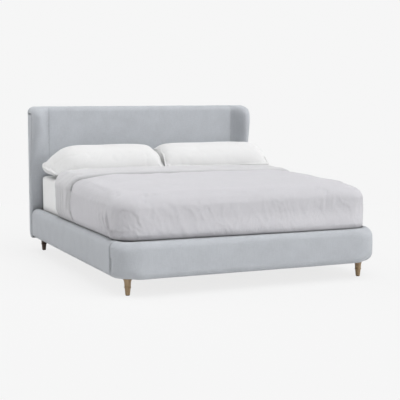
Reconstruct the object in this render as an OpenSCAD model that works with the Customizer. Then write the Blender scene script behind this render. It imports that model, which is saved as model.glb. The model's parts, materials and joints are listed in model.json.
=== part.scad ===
// Upholstered bed with a winged headboard, made up with its mattress and bedding.
// Millimetres. X runs across the bed, +Y towards the headboard, +Z up.
// The origin is on the floor, under the middle of the bed's overall outline.

/* [Mattress] */
// Width of the mattress
mattress_w = 1800; // [1500:10:2000]
// Length of the mattress
mattress_l = 2000; // [1900:10:2200]
// Thickness of the mattress
mattress_h = 290; // [240:5:360]
// Radius of the mattress's upright corners
mattress_corner_r = 85; // [50:5:90]
// Radius of the mattress's top and bottom edges
mattress_edge_r = 26; // [12:2:40]
// Thickness of the fitted sheet
sheet_t = 2; // [1:0.5:4]
// Width of the sheet's elastic hem under the mattress
sheet_hem = 90; // [40:10:200]

/* [Frame] */
// Height of the rails' underside above the floor
leg_h = 112; // [90:1:200]
// Height of the side and foot rails
rail_h = 240; // [220:5:320]
// Thickness of a side rail with its padding
side_rail_t = 67; // [60:1:90]
// Thickness of the foot rail with its padding
foot_rail_t = 100; // [80:5:130]
// Radius of the foot rail's outer corners, seen from above
foot_corner_r = 170; // [120:5:200]
// Radius of the rails' padded outer edges
rail_edge_r = 34; // [20:1:40]
// Radius of the rails' padded inner edges
rail_inner_r = 12; // [4:1:18]
// Thickness of the timber boards inside the rails
core_t = 40; // [25:1:45]
// Padding over the top of the boards
pad_over = 36; // [20:1:45]
// Padding under the boards
pad_under = 20; // [10:1:30]
// Depth of the well that the mattress sits in
well_depth = 25; // [10:1:60]
// Gap between the mattress and each side rail
side_gap = 5; // [4:1:20]
// Gap between the mattress and the foot rail
foot_gap = 31; // [20:1:60]
// Gap between the mattress and the headboard
head_gap = 20; // [14:1:40]

/* [Headboard] */
// Height of the headboard above the floor
headboard_top = 1181; // [1080:1:1400]
// Thickness of the headboard at its middle
headboard_t = 104; // [95:1:140]
// Width of each wing, from its seam to the bed's side
wing_w = 152; // [130:1:200]
// How far the wings reach forward of the middle panel
wing_reach = 109; // [60:1:130]
// Height at which the wings start to come forward
wing_low_z = 620; // [500:10:700]
// Height at which the wings reach furthest forward
wing_high_z = 1060; // [960:5:1061]
// Radius of the wing's rolled front edge at its fullest
wing_roll_r = 55; // [30:1:60]
// Radius of the wing's front edge at rail height
wing_foot_r = 10; // [6:1:20]
// Height of the rounded top front corner of a wing
wing_brow_h = 90; // [60:5:110]
// Radius along the headboard's top edges
headboard_edge_r = 45; // [25:1:47]
// Radius at the bottom of the headboard's back
headboard_heel_r = 60; // [30:1:80]
// Thickness of the front pad
panel_pad_t = 40; // [30:1:50]
// Thickness of the plywood board behind the pad
board_t = 18; // [12:1:24]
// Thickness of the headboard's back cover
back_cover_t = 6; // [4:1:10]
// Width of the timbers inside the headboard
timber_w = 70; // [50:1:90]

/* [Slats and centre beam] */
// Number of slats
slat_count = 14; // [8:1:14]
// Width of a slat
slat_w = 70; // [50:1:80]
// Thickness of a slat
slat_t = 20; // [15:1:25]
// Radius of a slat's long edges
slat_edge_r = 4; // [2:1:6]
// Gap between a slat's end and the rail
slat_end_gap = 8; // [6:1:14]
// Wall of the plastic slat holders
holder_wall = 3; // [2:0.5:5]
// Width of the ledger batten along each side rail
ledger_w = 40; // [30:1:60]
// Height of the ledger batten
ledger_h = 45; // [30:1:60]
// Width of the centre beam
beam_w = 60; // [40:1:80]
// Height of the centre beam
beam_h = 90; // [60:1:110]
// Distance of each centre leg from the middle of the bed
centre_leg_y = 440; // [300:10:700]
// Radius of a centre leg's tube
centre_leg_r = 17; // [14:1:25]
// Radius of the levelling foot's pad
level_pad_r = 22; // [18:1:30]
// Radius of the levelling foot's screw
level_screw_r = 5; // [4:0.5:6]
// How far a levelling foot can be screwed up
level_travel = 12; // [6:1:18]

/* [Legs] */
// Radius of the leg's collar, under the rail
leg_top_r = 30; // [26:1:36]
// Radius of the leg's waist
leg_neck_r = 21.5; // [18:0.5:24]
// Radius of the turned bead
leg_bead_r = 23; // [20:0.5:27]
// Radius of the leg at its foot
leg_foot_r = 14; // [11:0.5:18]
// Distance of the legs' centres from the bed's sides
leg_inset_x = 106; // [96:1:115]
// Distance of the front legs' centres from the foot
front_leg_inset = 131; // [131:1:150]
// Distance of the rear legs' centres from the back
rear_leg_inset = 69; // [66:1:74]
// Thickness of the felt glide under each leg
glide_t = 3; // [2:0.5:5]
// Thickness of the steel plate over each leg
leg_plate_t = 2.5; // [2:0.5:4]
// Radius of the bolts
bolt_r = 4; // [3:0.5:5]

/* [Bedding] */
// Length of a filled pillow
pillow_l = 944; // [700:4:948]
// Width of a filled pillow
pillow_w = 440; // [400:5:450]
// Fullness of a pillow above its seam
pillow_crown = 136; // [90:1:145]
// Fullness of a pillow below its seam
pillow_belly = 122; // [90:1:130]
// Tilt of the pillows against the headboard, in degrees
pillow_tilt = 12; // [4:1:16]
// Height of a pillow's seam above the mattress
pillow_seam_h = 116; // [90:1:120]
// How far a pillow's sides draw in between its corners
pillow_waist = 26; // [10:1:40]
// Thickness of the duvet
duvet_t = 40; // [30:1:46]
// How much thicker the duvet is at its head edge
duvet_head_loft = 22; // [0:1:30]
// Length of mattress that the duvet leaves bare
duvet_turn = 960; // [860:10:1100]
// Radius of the duvet's outer corners at the foot
duvet_corner_r = 145; // [120:5:160]
// Depth of the folds where the duvet hangs
duvet_fold = 5; // [0:0.5:7]
// Thickness of the blanket where the duvet presses on it
blanket_t = 10; // [6:1:14]
// Fullness of the blanket where it shows
blanket_loft = 78; // [40:1:84]
// Length of mattress that the blanket leaves bare
blanket_turn = 491; // [480:1:560]

/* [Hidden] */

$fn = 48;
// Clearances beside soft pieces, and where one piece seats on or in another
soft_gap = 0.5;
seat_gap = 0.3;

// Plan of the frame
half_in = mattress_w / 2 + side_gap;
half_out = half_in + side_rail_t;
bed_l = foot_rail_t + foot_gap + mattress_l + head_gap + headboard_t;
y_foot = -bed_l / 2;
y_back = bed_l / 2;
y_foot_in = y_foot + foot_rail_t;
y_panel = y_back - headboard_t;
y_mattress = y_foot_in + foot_gap;
foot_inner_r = 70;
y_seam = y_foot + max(foot_corner_r, foot_rail_t + foot_inner_r) + 3;
seam_x = half_out - wing_w;

// Heights
z_rail = leg_h;
z_rail_top = leg_h + rail_h;
z_deck = z_rail_top - well_depth;
z_mattress = z_deck + seat_gap + sheet_t;
z_bed_top = z_mattress + mattress_h + sheet_t;
z_slat = z_deck - slat_t;
z_ledger_top = z_slat - holder_wall;
z_ledger = z_ledger_top - ledger_h;
z_beam = z_ledger_top - beam_h;
core_h = rail_h - pad_over - pad_under;
z_core = z_rail + pad_under;

// Colours
fabric_colour = [0.70, 0.72, 0.74];
timber_colour = [0.80, 0.66, 0.46];
ply_colour = [0.76, 0.62, 0.44];
oak_colour = [0.62, 0.50, 0.36];
dark_oak_colour = [0.30, 0.20, 0.15];
steel_colour = [0.62, 0.63, 0.65];
black_colour = [0.12, 0.12, 0.13];
felt_colour = [0.28, 0.27, 0.26];
white_colour = [0.95, 0.95, 0.94];
duvet_colour = [0.80, 0.79, 0.82];
blanket_colour = [0.84, 0.83, 0.84];

function smooth(t) = let (c = min(1, max(0, t))) c * c * (3 - 2 * c);
function mix(a, b, t) = a + (b - a) * t;
// How far a rounded edge has drawn in at the height h of its curve, from 0 to 1
function rounding(h) = 1 - sqrt(max(0, 1 - h * h));

// What is cut from a square corner to round it
module corner_cut(r) {
    difference() {
        translate([-1, -1]) square(r + 1);
        translate([r, r]) circle(r);
    }
}

// Rectangle with its own radius at the low corner and at the high one of each side
module rounded_section(w, h, r_near, r_far) {
    difference() {
        square([w, h]);
        corner_cut(r_near);
        translate([0, h]) mirror([0, 1]) corner_cut(r_near);
        translate([w, 0]) mirror([1, 0]) corner_cut(r_far);
        translate([w, h]) mirror([1, 0]) mirror([0, 1]) corner_cut(r_far);
    }
}

module mirrored(side) {
    if (side < 0) mirror([1, 0, 0]) children();
    else children();
}

// Plan of a shape with two rounded corners at the foot and a straight head end
module foot_plan(half_w, front_y, r, end_y) {
    difference() {
        translate([-half_w, front_y]) square([2 * half_w, end_y - front_y]);
        translate([-half_w, front_y]) corner_cut(r);
        translate([half_w, front_y]) mirror([1, 0]) corner_cut(r);
    }
}

// Side rails

module side_rail_board() {
    rotate([90, 0, 0])
        translate([half_in, z_core, -y_panel])
            linear_extrude(y_panel - y_seam) square([core_t, core_h]);
}

module side_rail_bolt_holes() {
    for (z = bracket_bolt_z)
        translate([half_in - 1, y_panel - bracket_bolt_y, z])
            rotate([0, 90, 0]) cylinder(r = bolt_r + seat_gap, h = bolt_grip + 1);
    for (z = block_side_z)
        translate([half_in - 1, y_seam + block_bolt_y, z])
            rotate([0, 90, 0]) cylinder(r = bolt_r + seat_gap, h = bolt_grip + 1);
}

module drilled_side_rail_board() {
    color(timber_colour) difference() {
        side_rail_board();
        side_rail_bolt_holes();
    }
}

module side_rail_cover() {
    color(fabric_colour)
        rotate([90, 0, 0])
            translate([half_in, 0, -y_panel])
                linear_extrude(y_panel - y_seam)
                    difference() {
                        translate([0, z_rail])
                            rounded_section(side_rail_t, rail_h, rail_inner_r, rail_edge_r);
                        translate([-1, z_core]) square([core_t + 1, core_h]);
                    }
}

// Foot rail, with its corners carried round to the side rails

module foot_rail_board_plan() {
    difference() {
        foot_plan(half_in + core_t, y_foot_in - core_t, foot_inner_r + core_t, y_seam);
        foot_plan(half_in, y_foot_in, foot_inner_r, y_seam + 1);
    }
}

module foot_rail_board() {
    color(timber_colour) difference() {
        translate([0, 0, z_core]) linear_extrude(core_h) foot_rail_board_plan();
        for (s = [-1, 1]) for (z = block_foot_z)
            translate([s * (half_in - block_bolt_x), y_foot_in + 1, z])
                rotate([90, 0, 0]) cylinder(r = bolt_r + seat_gap, h = bolt_grip + 1);
        for (x = [-hanger_bolt_x, hanger_bolt_x])
            translate([x, y_foot_in + 1, z_hanger_bolt])
                rotate([90, 0, 0]) cylinder(r = bolt_r + seat_gap, h = bolt_grip + 1);
    }
}

module foot_rail_section() {
    rounded_section(foot_rail_t, rail_h, rail_inner_r, rail_edge_r);
}

module foot_rail_cover() {
    straight_w = 2 * (half_out - foot_corner_r);
    color(fabric_colour) difference() {
        union() {
            translate([-straight_w / 2, y_foot_in, z_rail])
                rotate([90, 0, 90])
                    linear_extrude(straight_w) mirror([1, 0]) foot_rail_section();
            for (s = [-1, 1]) mirrored(s)
                translate([half_out - foot_corner_r, y_foot + foot_corner_r, z_rail]) {
                    rotate([0, 0, -90]) rotate_extrude(angle = 90, $fn = 96)
                        translate([foot_corner_r - foot_rail_t, 0]) foot_rail_section();
                    translate([foot_corner_r - foot_rail_t, y_seam - y_foot - foot_corner_r, 0])
                        rotate([90, 0, 0])
                            linear_extrude(y_seam - y_foot - foot_corner_r)
                                foot_rail_section();
                }
        }
        translate([0, 0, z_rail - 1])
            linear_extrude(rail_h + 2) foot_plan(half_in, y_foot_in, foot_inner_r, y_seam + 1);
        translate([0, 0, z_core]) linear_extrude(core_h)
            foot_plan(half_in + core_t, y_foot_in - core_t, foot_inner_r + core_t, y_seam + 1);
    }
}

// Timber block in each foot corner, which ties the rails together and takes the front leg
block_w = 150;
block_h = 140;
block_bolt_x = 118;
block_bolt_y = 44;
block_foot_z = [z_rail + 36, z_rail + 90];
block_side_z = [z_rail + 60, z_rail + 114];
bolt_grip = 32;
bolt_tip_gap = 4;

module corner_block() {
    color(timber_colour) difference() {
        translate([0, 0, z_rail]) linear_extrude(block_h) intersection() {
            foot_plan(half_in, y_foot_in, foot_inner_r, y_seam + block_w);
            translate([half_in - block_w, y_foot_in]) square([block_w, block_w]);
        }
        translate([leg_x, y_leg_front, z_rail - 1])
            cylinder(r = bolt_r + seat_gap, h = leg_bolt_up + 1);
        for (z = block_foot_z)
            translate([half_in - block_bolt_x, y_foot_in - 1, z])
                rotate([-90, 0, 0]) cylinder(r = bolt_r + seat_gap, h = block_w + 2);
        for (z = block_side_z)
            translate([half_in + 1, y_seam + block_bolt_y, z])
                rotate([0, -90, 0]) cylinder(r = bolt_r + seat_gap, h = block_w + 2);
    }
}

// Steel angle that bolts each side rail to the headboard
bracket_t = 4;
bracket_h = 90;
bracket_rail_l = 80;
bracket_head_l = 165;
bracket_bolt_y = 55;
bracket_bolt_x = 135;
z_bracket = z_rail + 52;
bracket_bolt_z = [z_bracket + 24, z_bracket + 66];

module head_bracket() {
    color(steel_colour) difference() {
        translate([half_in, y_panel, z_bracket]) union() {
            translate([-bracket_t, -bracket_rail_l, 0])
                cube([bracket_t, bracket_rail_l, bracket_h]);
            translate([-bracket_head_l, -bracket_t, 0])
                cube([bracket_head_l, bracket_t, bracket_h]);
        }
        for (z = bracket_bolt_z) {
            translate([half_in + 1, y_panel - bracket_bolt_y, z])
                rotate([0, -90, 0]) cylinder(r = bolt_r + seat_gap, h = bracket_t + 2);
            translate([half_in - bracket_bolt_x, y_panel + 1, z])
                rotate([90, 0, 0]) cylinder(r = bolt_r + seat_gap, h = bracket_t + 2);
        }
    }
}

// Hexagon-headed bolt, its head's seat at the origin and its shank along -Z
module bolt(grip) {
    translate([0, 0, -grip]) cylinder(r = bolt_r, h = grip);
    cylinder(r = bolt_r * 2.2, h = 1.6);
    translate([0, 0, 1.6]) cylinder(r = bolt_r * 1.75, h = bolt_r * 1.3, $fn = 6);
}

module frame_bolts() {
    color(steel_colour) for (s = [-1, 1]) mirrored(s) {
        for (z = bracket_bolt_z) {
            translate([half_in - bracket_t, y_panel - bracket_bolt_y, z])
                rotate([0, -90, 0]) bolt(bolt_grip);
            translate([half_in - bracket_bolt_x, y_panel - bracket_t, z])
                rotate([90, 0, 0]) bolt(panel_pad_t + board_t + bolt_grip);
        }
        for (z = block_side_z)
            translate([half_in - block_w, y_seam + block_bolt_y, z])
                rotate([0, -90, 0]) bolt(block_w + bolt_grip - bolt_tip_gap);
        for (z = block_foot_z)
            translate([half_in - block_bolt_x, y_foot_in + block_w, z])
                rotate([-90, 0, 0]) bolt(block_w + bolt_grip - bolt_tip_gap);
        translate([hanger_bolt_x, y_foot_in + hanger_t, z_hanger_bolt])
            rotate([-90, 0, 0]) bolt(bolt_grip);
        translate([hanger_bolt_x, y_panel - hanger_t, z_hanger_bolt])
            rotate([90, 0, 0]) bolt(panel_pad_t + board_t + bolt_grip);
    }
}

// Headboard

module headboard_side_profile() {
    difference() {
        translate([y_panel, z_rail]) square([headboard_t, headboard_top - z_rail]);
        translate([y_panel, headboard_top]) mirror([0, 1]) corner_cut(headboard_edge_r);
        translate([y_back, headboard_top]) mirror([1, 0]) mirror([0, 1])
            corner_cut(headboard_edge_r);
        translate([y_back, z_rail]) mirror([1, 0]) corner_cut(headboard_heel_r);
        translate([y_panel, z_rail]) corner_cut(wing_foot_r);
    }
}

z_frame = z_rail + headboard_heel_r;
z_frame_top = headboard_top - headboard_edge_r;
y_board = y_panel + panel_pad_t;
y_timber = y_board + board_t;
timber_t = y_back - back_cover_t - y_timber;

module across(width) {
    translate([-width / 2, 0, 0]) rotate([90, 0, 90]) linear_extrude(width) children();
}

module headboard_bolt_holes(depth) {
    for (s = [-1, 1]) for (z = bracket_bolt_z)
        translate([s * (half_in - bracket_bolt_x), y_panel - 1, z])
            rotate([-90, 0, 0]) cylinder(r = bolt_r + seat_gap, h = depth + 1);
    for (x = [-hanger_bolt_x, hanger_bolt_x])
        translate([x, y_panel - 1, z_hanger_bolt])
            rotate([-90, 0, 0]) cylinder(r = bolt_r + seat_gap, h = depth + 1);
}

module headboard_panel() {
    color(fabric_colour) difference() {
        across(2 * seam_x) headboard_side_profile();
        translate([-seam_x - 1, y_board, z_frame])
            cube([2 * seam_x + 2, headboard_t, z_frame_top - z_frame]);
        headboard_bolt_holes(panel_pad_t + 1);
    }
}

module headboard_board() {
    color(ply_colour) difference() {
        translate([-seam_x, y_board, z_frame])
            cube([2 * seam_x, board_t, z_frame_top - z_frame]);
        headboard_bolt_holes(panel_pad_t + board_t + 1);
    }
}

module headboard_post() {
    color(timber_colour) difference() {
        translate([seam_x - timber_w, y_timber, z_frame])
            cube([timber_w, timber_t, z_frame_top - z_frame]);
        headboard_bolt_holes(panel_pad_t + board_t + bolt_grip);
    }
}

module headboard_rail(z) {
    color(timber_colour) difference() {
        translate([timber_w - seam_x, y_timber, z])
            cube([2 * (seam_x - timber_w), timber_t, timber_w]);
        headboard_bolt_holes(panel_pad_t + board_t + bolt_grip);
    }
}

module headboard_back_cover() {
    color(fabric_colour)
        translate([-seam_x, y_back - back_cover_t, z_frame])
            cube([2 * seam_x, back_cover_t, z_frame_top - z_frame]);
}

// Wings, lofted through level sections: the front edge comes forward and its roll
// swells towards the top, where the whole section draws in over a rounded brow.

function wing_swell(z) = smooth((z - wing_low_z) / (wing_high_z - wing_low_z));
function top_draw(z) =
    headboard_edge_r * rounding(max(0, z - headboard_top + headboard_edge_r) / headboard_edge_r);
function brow_draw(z) =
    (wing_reach + headboard_edge_r)
        * rounding(max(0, z - headboard_top + wing_brow_h) / wing_brow_h);
function heel_draw(z) =
    headboard_heel_r * rounding(max(0, z_rail + headboard_heel_r - z) / headboard_heel_r);

inner_steps = 9;
roll_steps = 5;
back_steps = 3;
wing_back_r = 22;

function wing_section(z) =
    let (draw = top_draw(z),
         seam_y = y_panel + draw,
         tip_y = min(seam_y, y_panel - wing_reach * wing_swell(z) + brow_draw(z)),
         back_y = y_back - max(draw, heel_draw(z)),
         depth = back_y - tip_y,
         r = min(mix(wing_foot_r, wing_roll_r, wing_swell(z)), depth * 0.55),
         back_r = min(wing_back_r, depth * 0.4),
         out_x = half_out - draw,
         tip_x = out_x - r)
    concat(
        [for (i = [0:inner_steps])
            let (t = i / inner_steps)
            [mix(seam_x, tip_x, t), mix(seam_y, tip_y, smooth(t)), z]],
        [for (i = [1:roll_steps])
            let (a = 90 * i / roll_steps)
            [tip_x + r * sin(a), tip_y + r * (1 - cos(a)), z]],
        [for (i = [0:back_steps])
            let (a = 90 * i / back_steps)
            [out_x - back_r * (1 - cos(a)), back_y - back_r * (1 - sin(a)), z]],
        [[seam_x, back_y, z]]);

wing_levels = concat(
    [for (i = [0:4]) z_rail + headboard_heel_r * (1 - cos(90 * i / 4))],
    [for (i = [0:9]) mix(wing_low_z, wing_high_z, i / 9)],
    [for (i = [1:9]) headboard_top - wing_brow_h * (1 - sin(90 * i / 9))]);

// Closed solid through rings that all have the same number of points. A ring that is a
// thin strip, out along one side and back along the other, is closed across its width.
module loft(rings, strip = false) {
    n = len(rings[0]);
    m = len(rings);
    last = (m - 1) * n;
    polyhedron(
        points = [for (ring = rings) each ring],
        faces = concat(
            [for (k = [0:m - 2]) for (i = [0:n - 1]) let (j = (i + 1) % n)
                each [[k * n + i, (k + 1) * n + i, (k + 1) * n + j],
                      [k * n + i, (k + 1) * n + j, k * n + j]]],
            strip
                ? [for (i = [0:n / 2 - 2]) let (p = n - 1 - i)
                    each [[i, i + 1, p - 1], [i, p - 1, p],
                          [last + i, last + p - 1, last + i + 1], [last + i, last + p, last + p - 1]]]
                : [[for (i = [n - 1:2 * n - 2]) i % n], [for (i = [n - 1:-1:0]) last + i]]));
}

module wing() {
    color(fabric_colour) difference() {
        loft([for (z = wing_levels) wing_section(z)]);
        translate([leg_x, y_leg_rear, z_rail - 1])
            cylinder(r = bolt_r + seat_gap, h = leg_bolt_up + 1, $fn = 16);
    }
}

// Slats and what carries them

ledger_l = y_panel - y_seam;

module ledger() {
    color(timber_colour)
        translate([half_in - ledger_w, y_seam, z_ledger]) cube([ledger_w, ledger_l, ledger_h]);
}

slat_len = 2 * (half_in - slat_end_gap);
first_slat_y = y_seam + slat_w / 2 + 2 * holder_wall;
last_slat_y = y_panel - slat_w / 2 - 25;
function slat_y(i) = mix(first_slat_y, last_slat_y, (i - 1) / (slat_count - 1));

module slat(i) {
    color(timber_colour)
        translate([-slat_len / 2, slat_y(i) - slat_w / 2, z_slat])
            rotate([90, 0, 90]) linear_extrude(slat_len)
                rounded_section(slat_w, slat_t, slat_edge_r, slat_edge_r);
}

// Open plastic shoe for one slat's end, screwed down on the ledger
module slat_holder() {
    w = slat_w + 2 * (holder_wall + seat_gap);
    reach = ledger_w - slat_end_gap + holder_wall + seat_gap;
    translate([half_in - ledger_w, -w / 2, z_ledger_top]) difference() {
        cube([reach, w, holder_wall + slat_t]);
        translate([-1, holder_wall, holder_wall])
            cube([reach + 1 - holder_wall, w - 2 * holder_wall, slat_t + 1]);
    }
}

module slat_holders(side) {
    color(black_colour) mirrored(side)
        for (i = [1:slat_count]) translate([0, slat_y(i), 0]) slat_holder();
}

module slat_saddles() {
    w = slat_w + 2 * (holder_wall + seat_gap);
    color(black_colour)
        for (i = [1:slat_count])
            translate([-beam_w / 2, slat_y(i) - w / 2, z_ledger_top]) difference() {
                cube([beam_w, w, holder_wall + slat_t / 2]);
                translate([-1, holder_wall, holder_wall])
                    cube([beam_w + 2, w - 2 * holder_wall, slat_t]);
            }
}

beam_end_gap = 1;
hanger_t = 3;
hanger_plate_w = 130;
hanger_seat_l = 50;
hanger_seat_h = 60;
hanger_bolt_x = 48;
z_hanger_bolt = z_beam + 28;

module centre_beam() {
    color(timber_colour)
        translate([-beam_w / 2, y_foot_in + hanger_t + beam_end_gap, z_beam])
            cube([beam_w, y_panel - y_foot_in - 2 * (hanger_t + beam_end_gap), beam_h]);
}

// Steel shoe that carries one end of the beam, its plate in the plane y = 0
module beam_hanger() {
    color(steel_colour) difference() {
        union() {
            translate([-hanger_plate_w / 2, 0, z_beam - hanger_t])
                cube([hanger_plate_w, hanger_t, hanger_seat_h]);
            translate([-beam_w / 2 - hanger_t, 0, z_beam - hanger_t])
                cube([beam_w + 2 * hanger_t, hanger_seat_l, hanger_seat_h]);
        }
        translate([-beam_w / 2, hanger_t, z_beam])
            cube([beam_w, hanger_seat_l, hanger_seat_h]);
        for (x = [-hanger_bolt_x, hanger_bolt_x])
            translate([x, -1, z_hanger_bolt])
                rotate([-90, 0, 0]) cylinder(r = bolt_r + seat_gap, h = hanger_t + 2);
    }
}

// Centre legs with a levelling foot that screws into each
centre_plate = [110, 60, 3];
level_pad_h = 8;
level_nut_h = 6;
level_reach = 46;
z_centre_leg = level_pad_h + level_nut_h + level_travel;

module centre_leg(y) {
    color(black_colour) translate([0, y, 0]) difference() {
        union() {
            translate([0, 0, z_centre_leg])
                cylinder(r = centre_leg_r, h = z_beam - centre_plate[2] - z_centre_leg);
            translate([-centre_plate[0] / 2, -centre_plate[1] / 2, z_beam - centre_plate[2]])
                cube(centre_plate);
        }
        translate([0, 0, z_centre_leg - 1])
            cylinder(r = level_screw_r + seat_gap / 2, h = level_reach + 3);
    }
}

module levelling_foot(y) {
    color(black_colour) translate([0, y, 0]) {
        rotate_extrude() polygon([[0, 0], [level_pad_r - 1, 0], [level_pad_r, 1],
            [level_pad_r, 4], [level_screw_r * 2, level_pad_h], [0, level_pad_h]]);
        translate([0, 0, level_pad_h])
            cylinder(r = level_screw_r * 1.8, h = level_nut_h, $fn = 6);
        translate([0, 0, level_pad_h + level_nut_h])
            cylinder(r = level_screw_r, h = level_reach);
    }
}

// Turned legs

leg_x = half_out - leg_inset_x;
y_leg_front = y_foot + front_leg_inset;
y_leg_rear = y_back - rear_leg_inset;
leg_bolt_up = 45;
leg_bolt_down = 32;
leg_top_z = leg_h - leg_plate_t;

module leg() {
    turned_h = leg_top_z - glide_t;
    bead_z = glide_t + turned_h * 0.47;
    bead_h = 5;
    difference() {
        rotate_extrude() union() {
            polygon([
                [0, glide_t], [leg_foot_r, glide_t], [leg_foot_r + 1, glide_t + 1.5],
                [leg_neck_r - 2.5, bead_z - bead_h - 4], [leg_neck_r - 3, bead_z - bead_h],
                [leg_neck_r - 3, bead_z + bead_h], [leg_neck_r - 0.5, bead_z + bead_h + 3],
                [leg_neck_r, mix(bead_z, leg_top_z, 0.42)],
                [leg_neck_r + 1.2, mix(bead_z, leg_top_z, 0.62)],
                [leg_top_r - 4.2, mix(bead_z, leg_top_z, 0.82)],
                [leg_top_r - 1, leg_top_z - 5], [leg_top_r, leg_top_z - 3],
                [leg_top_r, leg_top_z], [0, leg_top_z]]);
            intersection() {
                translate([leg_bead_r - bead_h, bead_z]) circle(bead_h);
                square([100, 400]);
            }
        }
        translate([0, 0, leg_top_z - leg_bolt_down])
            cylinder(r = bolt_r + seat_gap, h = leg_bolt_down + 1);
    }
}

module placed_leg(side, y, colour) {
    color(colour) translate([side * leg_x, y, 0]) leg();
}

module at_each_leg() {
    for (s = [-1, 1]) for (y = [y_leg_front, y_leg_rear])
        translate([s * leg_x, y, 0]) children();
}

module leg_plates() {
    color(steel_colour) at_each_leg() translate([0, 0, leg_top_z]) difference() {
        cylinder(r = leg_top_r - 3, h = leg_plate_t);
        translate([0, 0, -1]) cylinder(r = bolt_r + seat_gap, h = leg_plate_t + 2);
    }
}

module leg_bolts() {
    color(steel_colour) at_each_leg()
        translate([0, 0, leg_top_z - leg_bolt_down])
            cylinder(r = bolt_r, h = leg_bolt_down + leg_bolt_up);
}

module leg_glides() {
    color(felt_colour) at_each_leg() cylinder(r = leg_foot_r - 1, h = glide_t);
}

// Mattress and sheet

// Slab with rounded upright corners and rounded edges, grown by g all round
module soft_slab(w, l, h, corner_r, edge_r, g) {
    hull() for (x = [-1, 1]) for (y = [-1, 1]) for (z = [0, 1])
        translate([x * (w / 2 - corner_r), y * (l / 2 - corner_r), mix(edge_r, h - edge_r, z)])
            rotate_extrude($fn = 32)
                intersection() {
                    union() {
                        translate([corner_r - edge_r, 0]) circle(edge_r + g, $fn = 24);
                        translate([0, -edge_r - g]) square([corner_r - edge_r, 2 * (edge_r + g)]);
                    }
                    translate([0, -edge_r - g]) square(4 * corner_r);
                }
}

module mattress_shape(g) {
    translate([0, y_mattress + mattress_l / 2, z_mattress])
        soft_slab(mattress_w, mattress_l, mattress_h, mattress_corner_r, mattress_edge_r, g);
}

module mattress() {
    color(white_colour) mattress_shape(0);
}

module fitted_sheet() {
    open_w = mattress_w - 2 * sheet_hem;
    open_l = mattress_l - 2 * sheet_hem;
    color(white_colour) difference() {
        mattress_shape(sheet_t);
        mattress_shape(0);
        translate([-open_w / 2, y_mattress + sheet_hem, z_mattress - 2 * sheet_t])
            cube([open_w, open_l, mattress_h / 2]);
    }
}

// Bedding that lies over the mattress: a profile of [inset, height] pairs from its
// lower edge, up the side and in to the middle of the bed.

half_bed = mattress_w / 2 + sheet_t;
y_bed_foot = y_mattress - sheet_t;
z_hem = z_rail_top + soft_gap;
drop = z_bed_top - z_hem;
y_middle = y_mattress + mattress_l / 2;

// Profile at a distance g from the sheet, with a shoulder of radius r
function over_profile(g, r, hem_in, crown = 0) = concat(
    [[hem_in, z_hem], [hem_in / 4, z_hem + drop * 0.10], [0, z_hem + drop * 0.26],
     [0, z_hem + drop * 0.5]],
    [for (a = [0:30:90]) [r * (1 - cos(a)), z_bed_top + g - r * (1 - sin(a))]],
    [for (d = [0.35, 0.62, 0.93]) [half_bed * d, z_bed_top + g + crown * smooth(d)]]);

// Blanket, across the bed under the duvet

y_blanket = y_mattress + mattress_l - blanket_turn;
y_duvet = y_mattress + mattress_l - duvet_turn;

blanket_show = y_blanket - y_duvet;
blanket_pressed = blanket_show - 35;
press_run = 100;
// Share of the loft that is left where the blanket hangs down the sides
hang_share = 0.42;
blanket_run = concat(
    [0, 5, 14, 28, 50],
    [for (i = [1:7]) mix(50, blanket_pressed - press_run, i / 7)],
    [for (i = [1:4]) mix(blanket_pressed - press_run, blanket_pressed, i / 4)],
    [for (i = [1:4])
        mix(blanket_show + 60, y_blanket - y_mattress - mattress_corner_r, i / 4)]);
function edge_round(d, r) = d < r ? mix(0.2, 1, sqrt(max(0, 1 - pow(1 - d / r, 2)))) : 1;
function blanket_thick(d) =
    let (under = smooth((d - blanket_pressed + press_run) / press_run))
    mix(blanket_loft, blanket_t - soft_gap, under) * edge_round(d, 28);
// How far the blanket's edge lies back from its furthest point, at step k of its side
function blanket_edge(k, side) =
    [-128, -52, -14, -1, -6, -12, -8, -5, side * 2 - 3, -1, 0][k];

function mirror_x(row) = [for (p = row) [-p[0], p[1], p[2]]];
function reversed(row) = [for (i = [len(row) - 1:-1:0]) row[i]];

// Half of one rib across the bed, from the hem to the middle
function blanket_half(d, thick, side) =
    let (shape = over_profile(soft_gap + thick, mattress_edge_r + soft_gap + thick, thick * 0.15))
    [for (k = [0:len(shape) - 1])
        let (fall = max(0, 1 - d / 500),
             puff = thick > 20 ? 2.5 * sin(d * 1.1 + k * 70 + side * 40) : 0)
        [side * (half_bed + soft_gap + thick * hang_share + puff * (k < 6 ? 1 : 0) - shape[k][0]),
         y_blanket - d + blanket_edge(k, side) * fall,
         shape[k][1] + (k > 5 ? puff : 0)]];
function blanket_rib(d, thick) =
    concat(blanket_half(d, thick, -1), reversed(blanket_half(d, thick, 1)));

module blanket() {
    color(blanket_colour)
        loft([for (d = reversed(blanket_run)) concat(
            blanket_rib(d, blanket_thick(d)), reversed(blanket_rib(d, 0)))], strip = true);
}

// Duvet, a cap over the blanket and the mattress's foot

duvet_side = [0, 6, 16, 34, 70, 130, 210, 310, 420, 540, 670, 800];
foot_steps = 14;
turn_steps = 5;
duvet_gap = soft_gap + blanket_t;
function duvet_edge(k) = [-112, -52, 6, 20, 2, -18, -22, -12, 0, 5, 0][k];

// Points of one turn round the bed, from the head end of the left side to that of the
// right one. half and foot give its size, r its corner and back the side's head end.
function turn_path(half, foot, r, back, z) =
    let (run = back - foot - r,
         full = duvet_side[len(duvet_side) - 1],
         side_points = [for (d = duvet_side) [-half, back - d * run / full, z]],
         arc = [for (i = [1:turn_steps])
            let (a = 90 * i / (turn_steps + 1))
            [r - half - r * cos(a), foot + r - r * sin(a), z]],
         left = concat(side_points, arc),
         front = [for (i = [0:foot_steps]) [mix(r - half, half - r, i / foot_steps), foot, z]])
    concat(left, front, reversed(mirror_x(left)));

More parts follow.
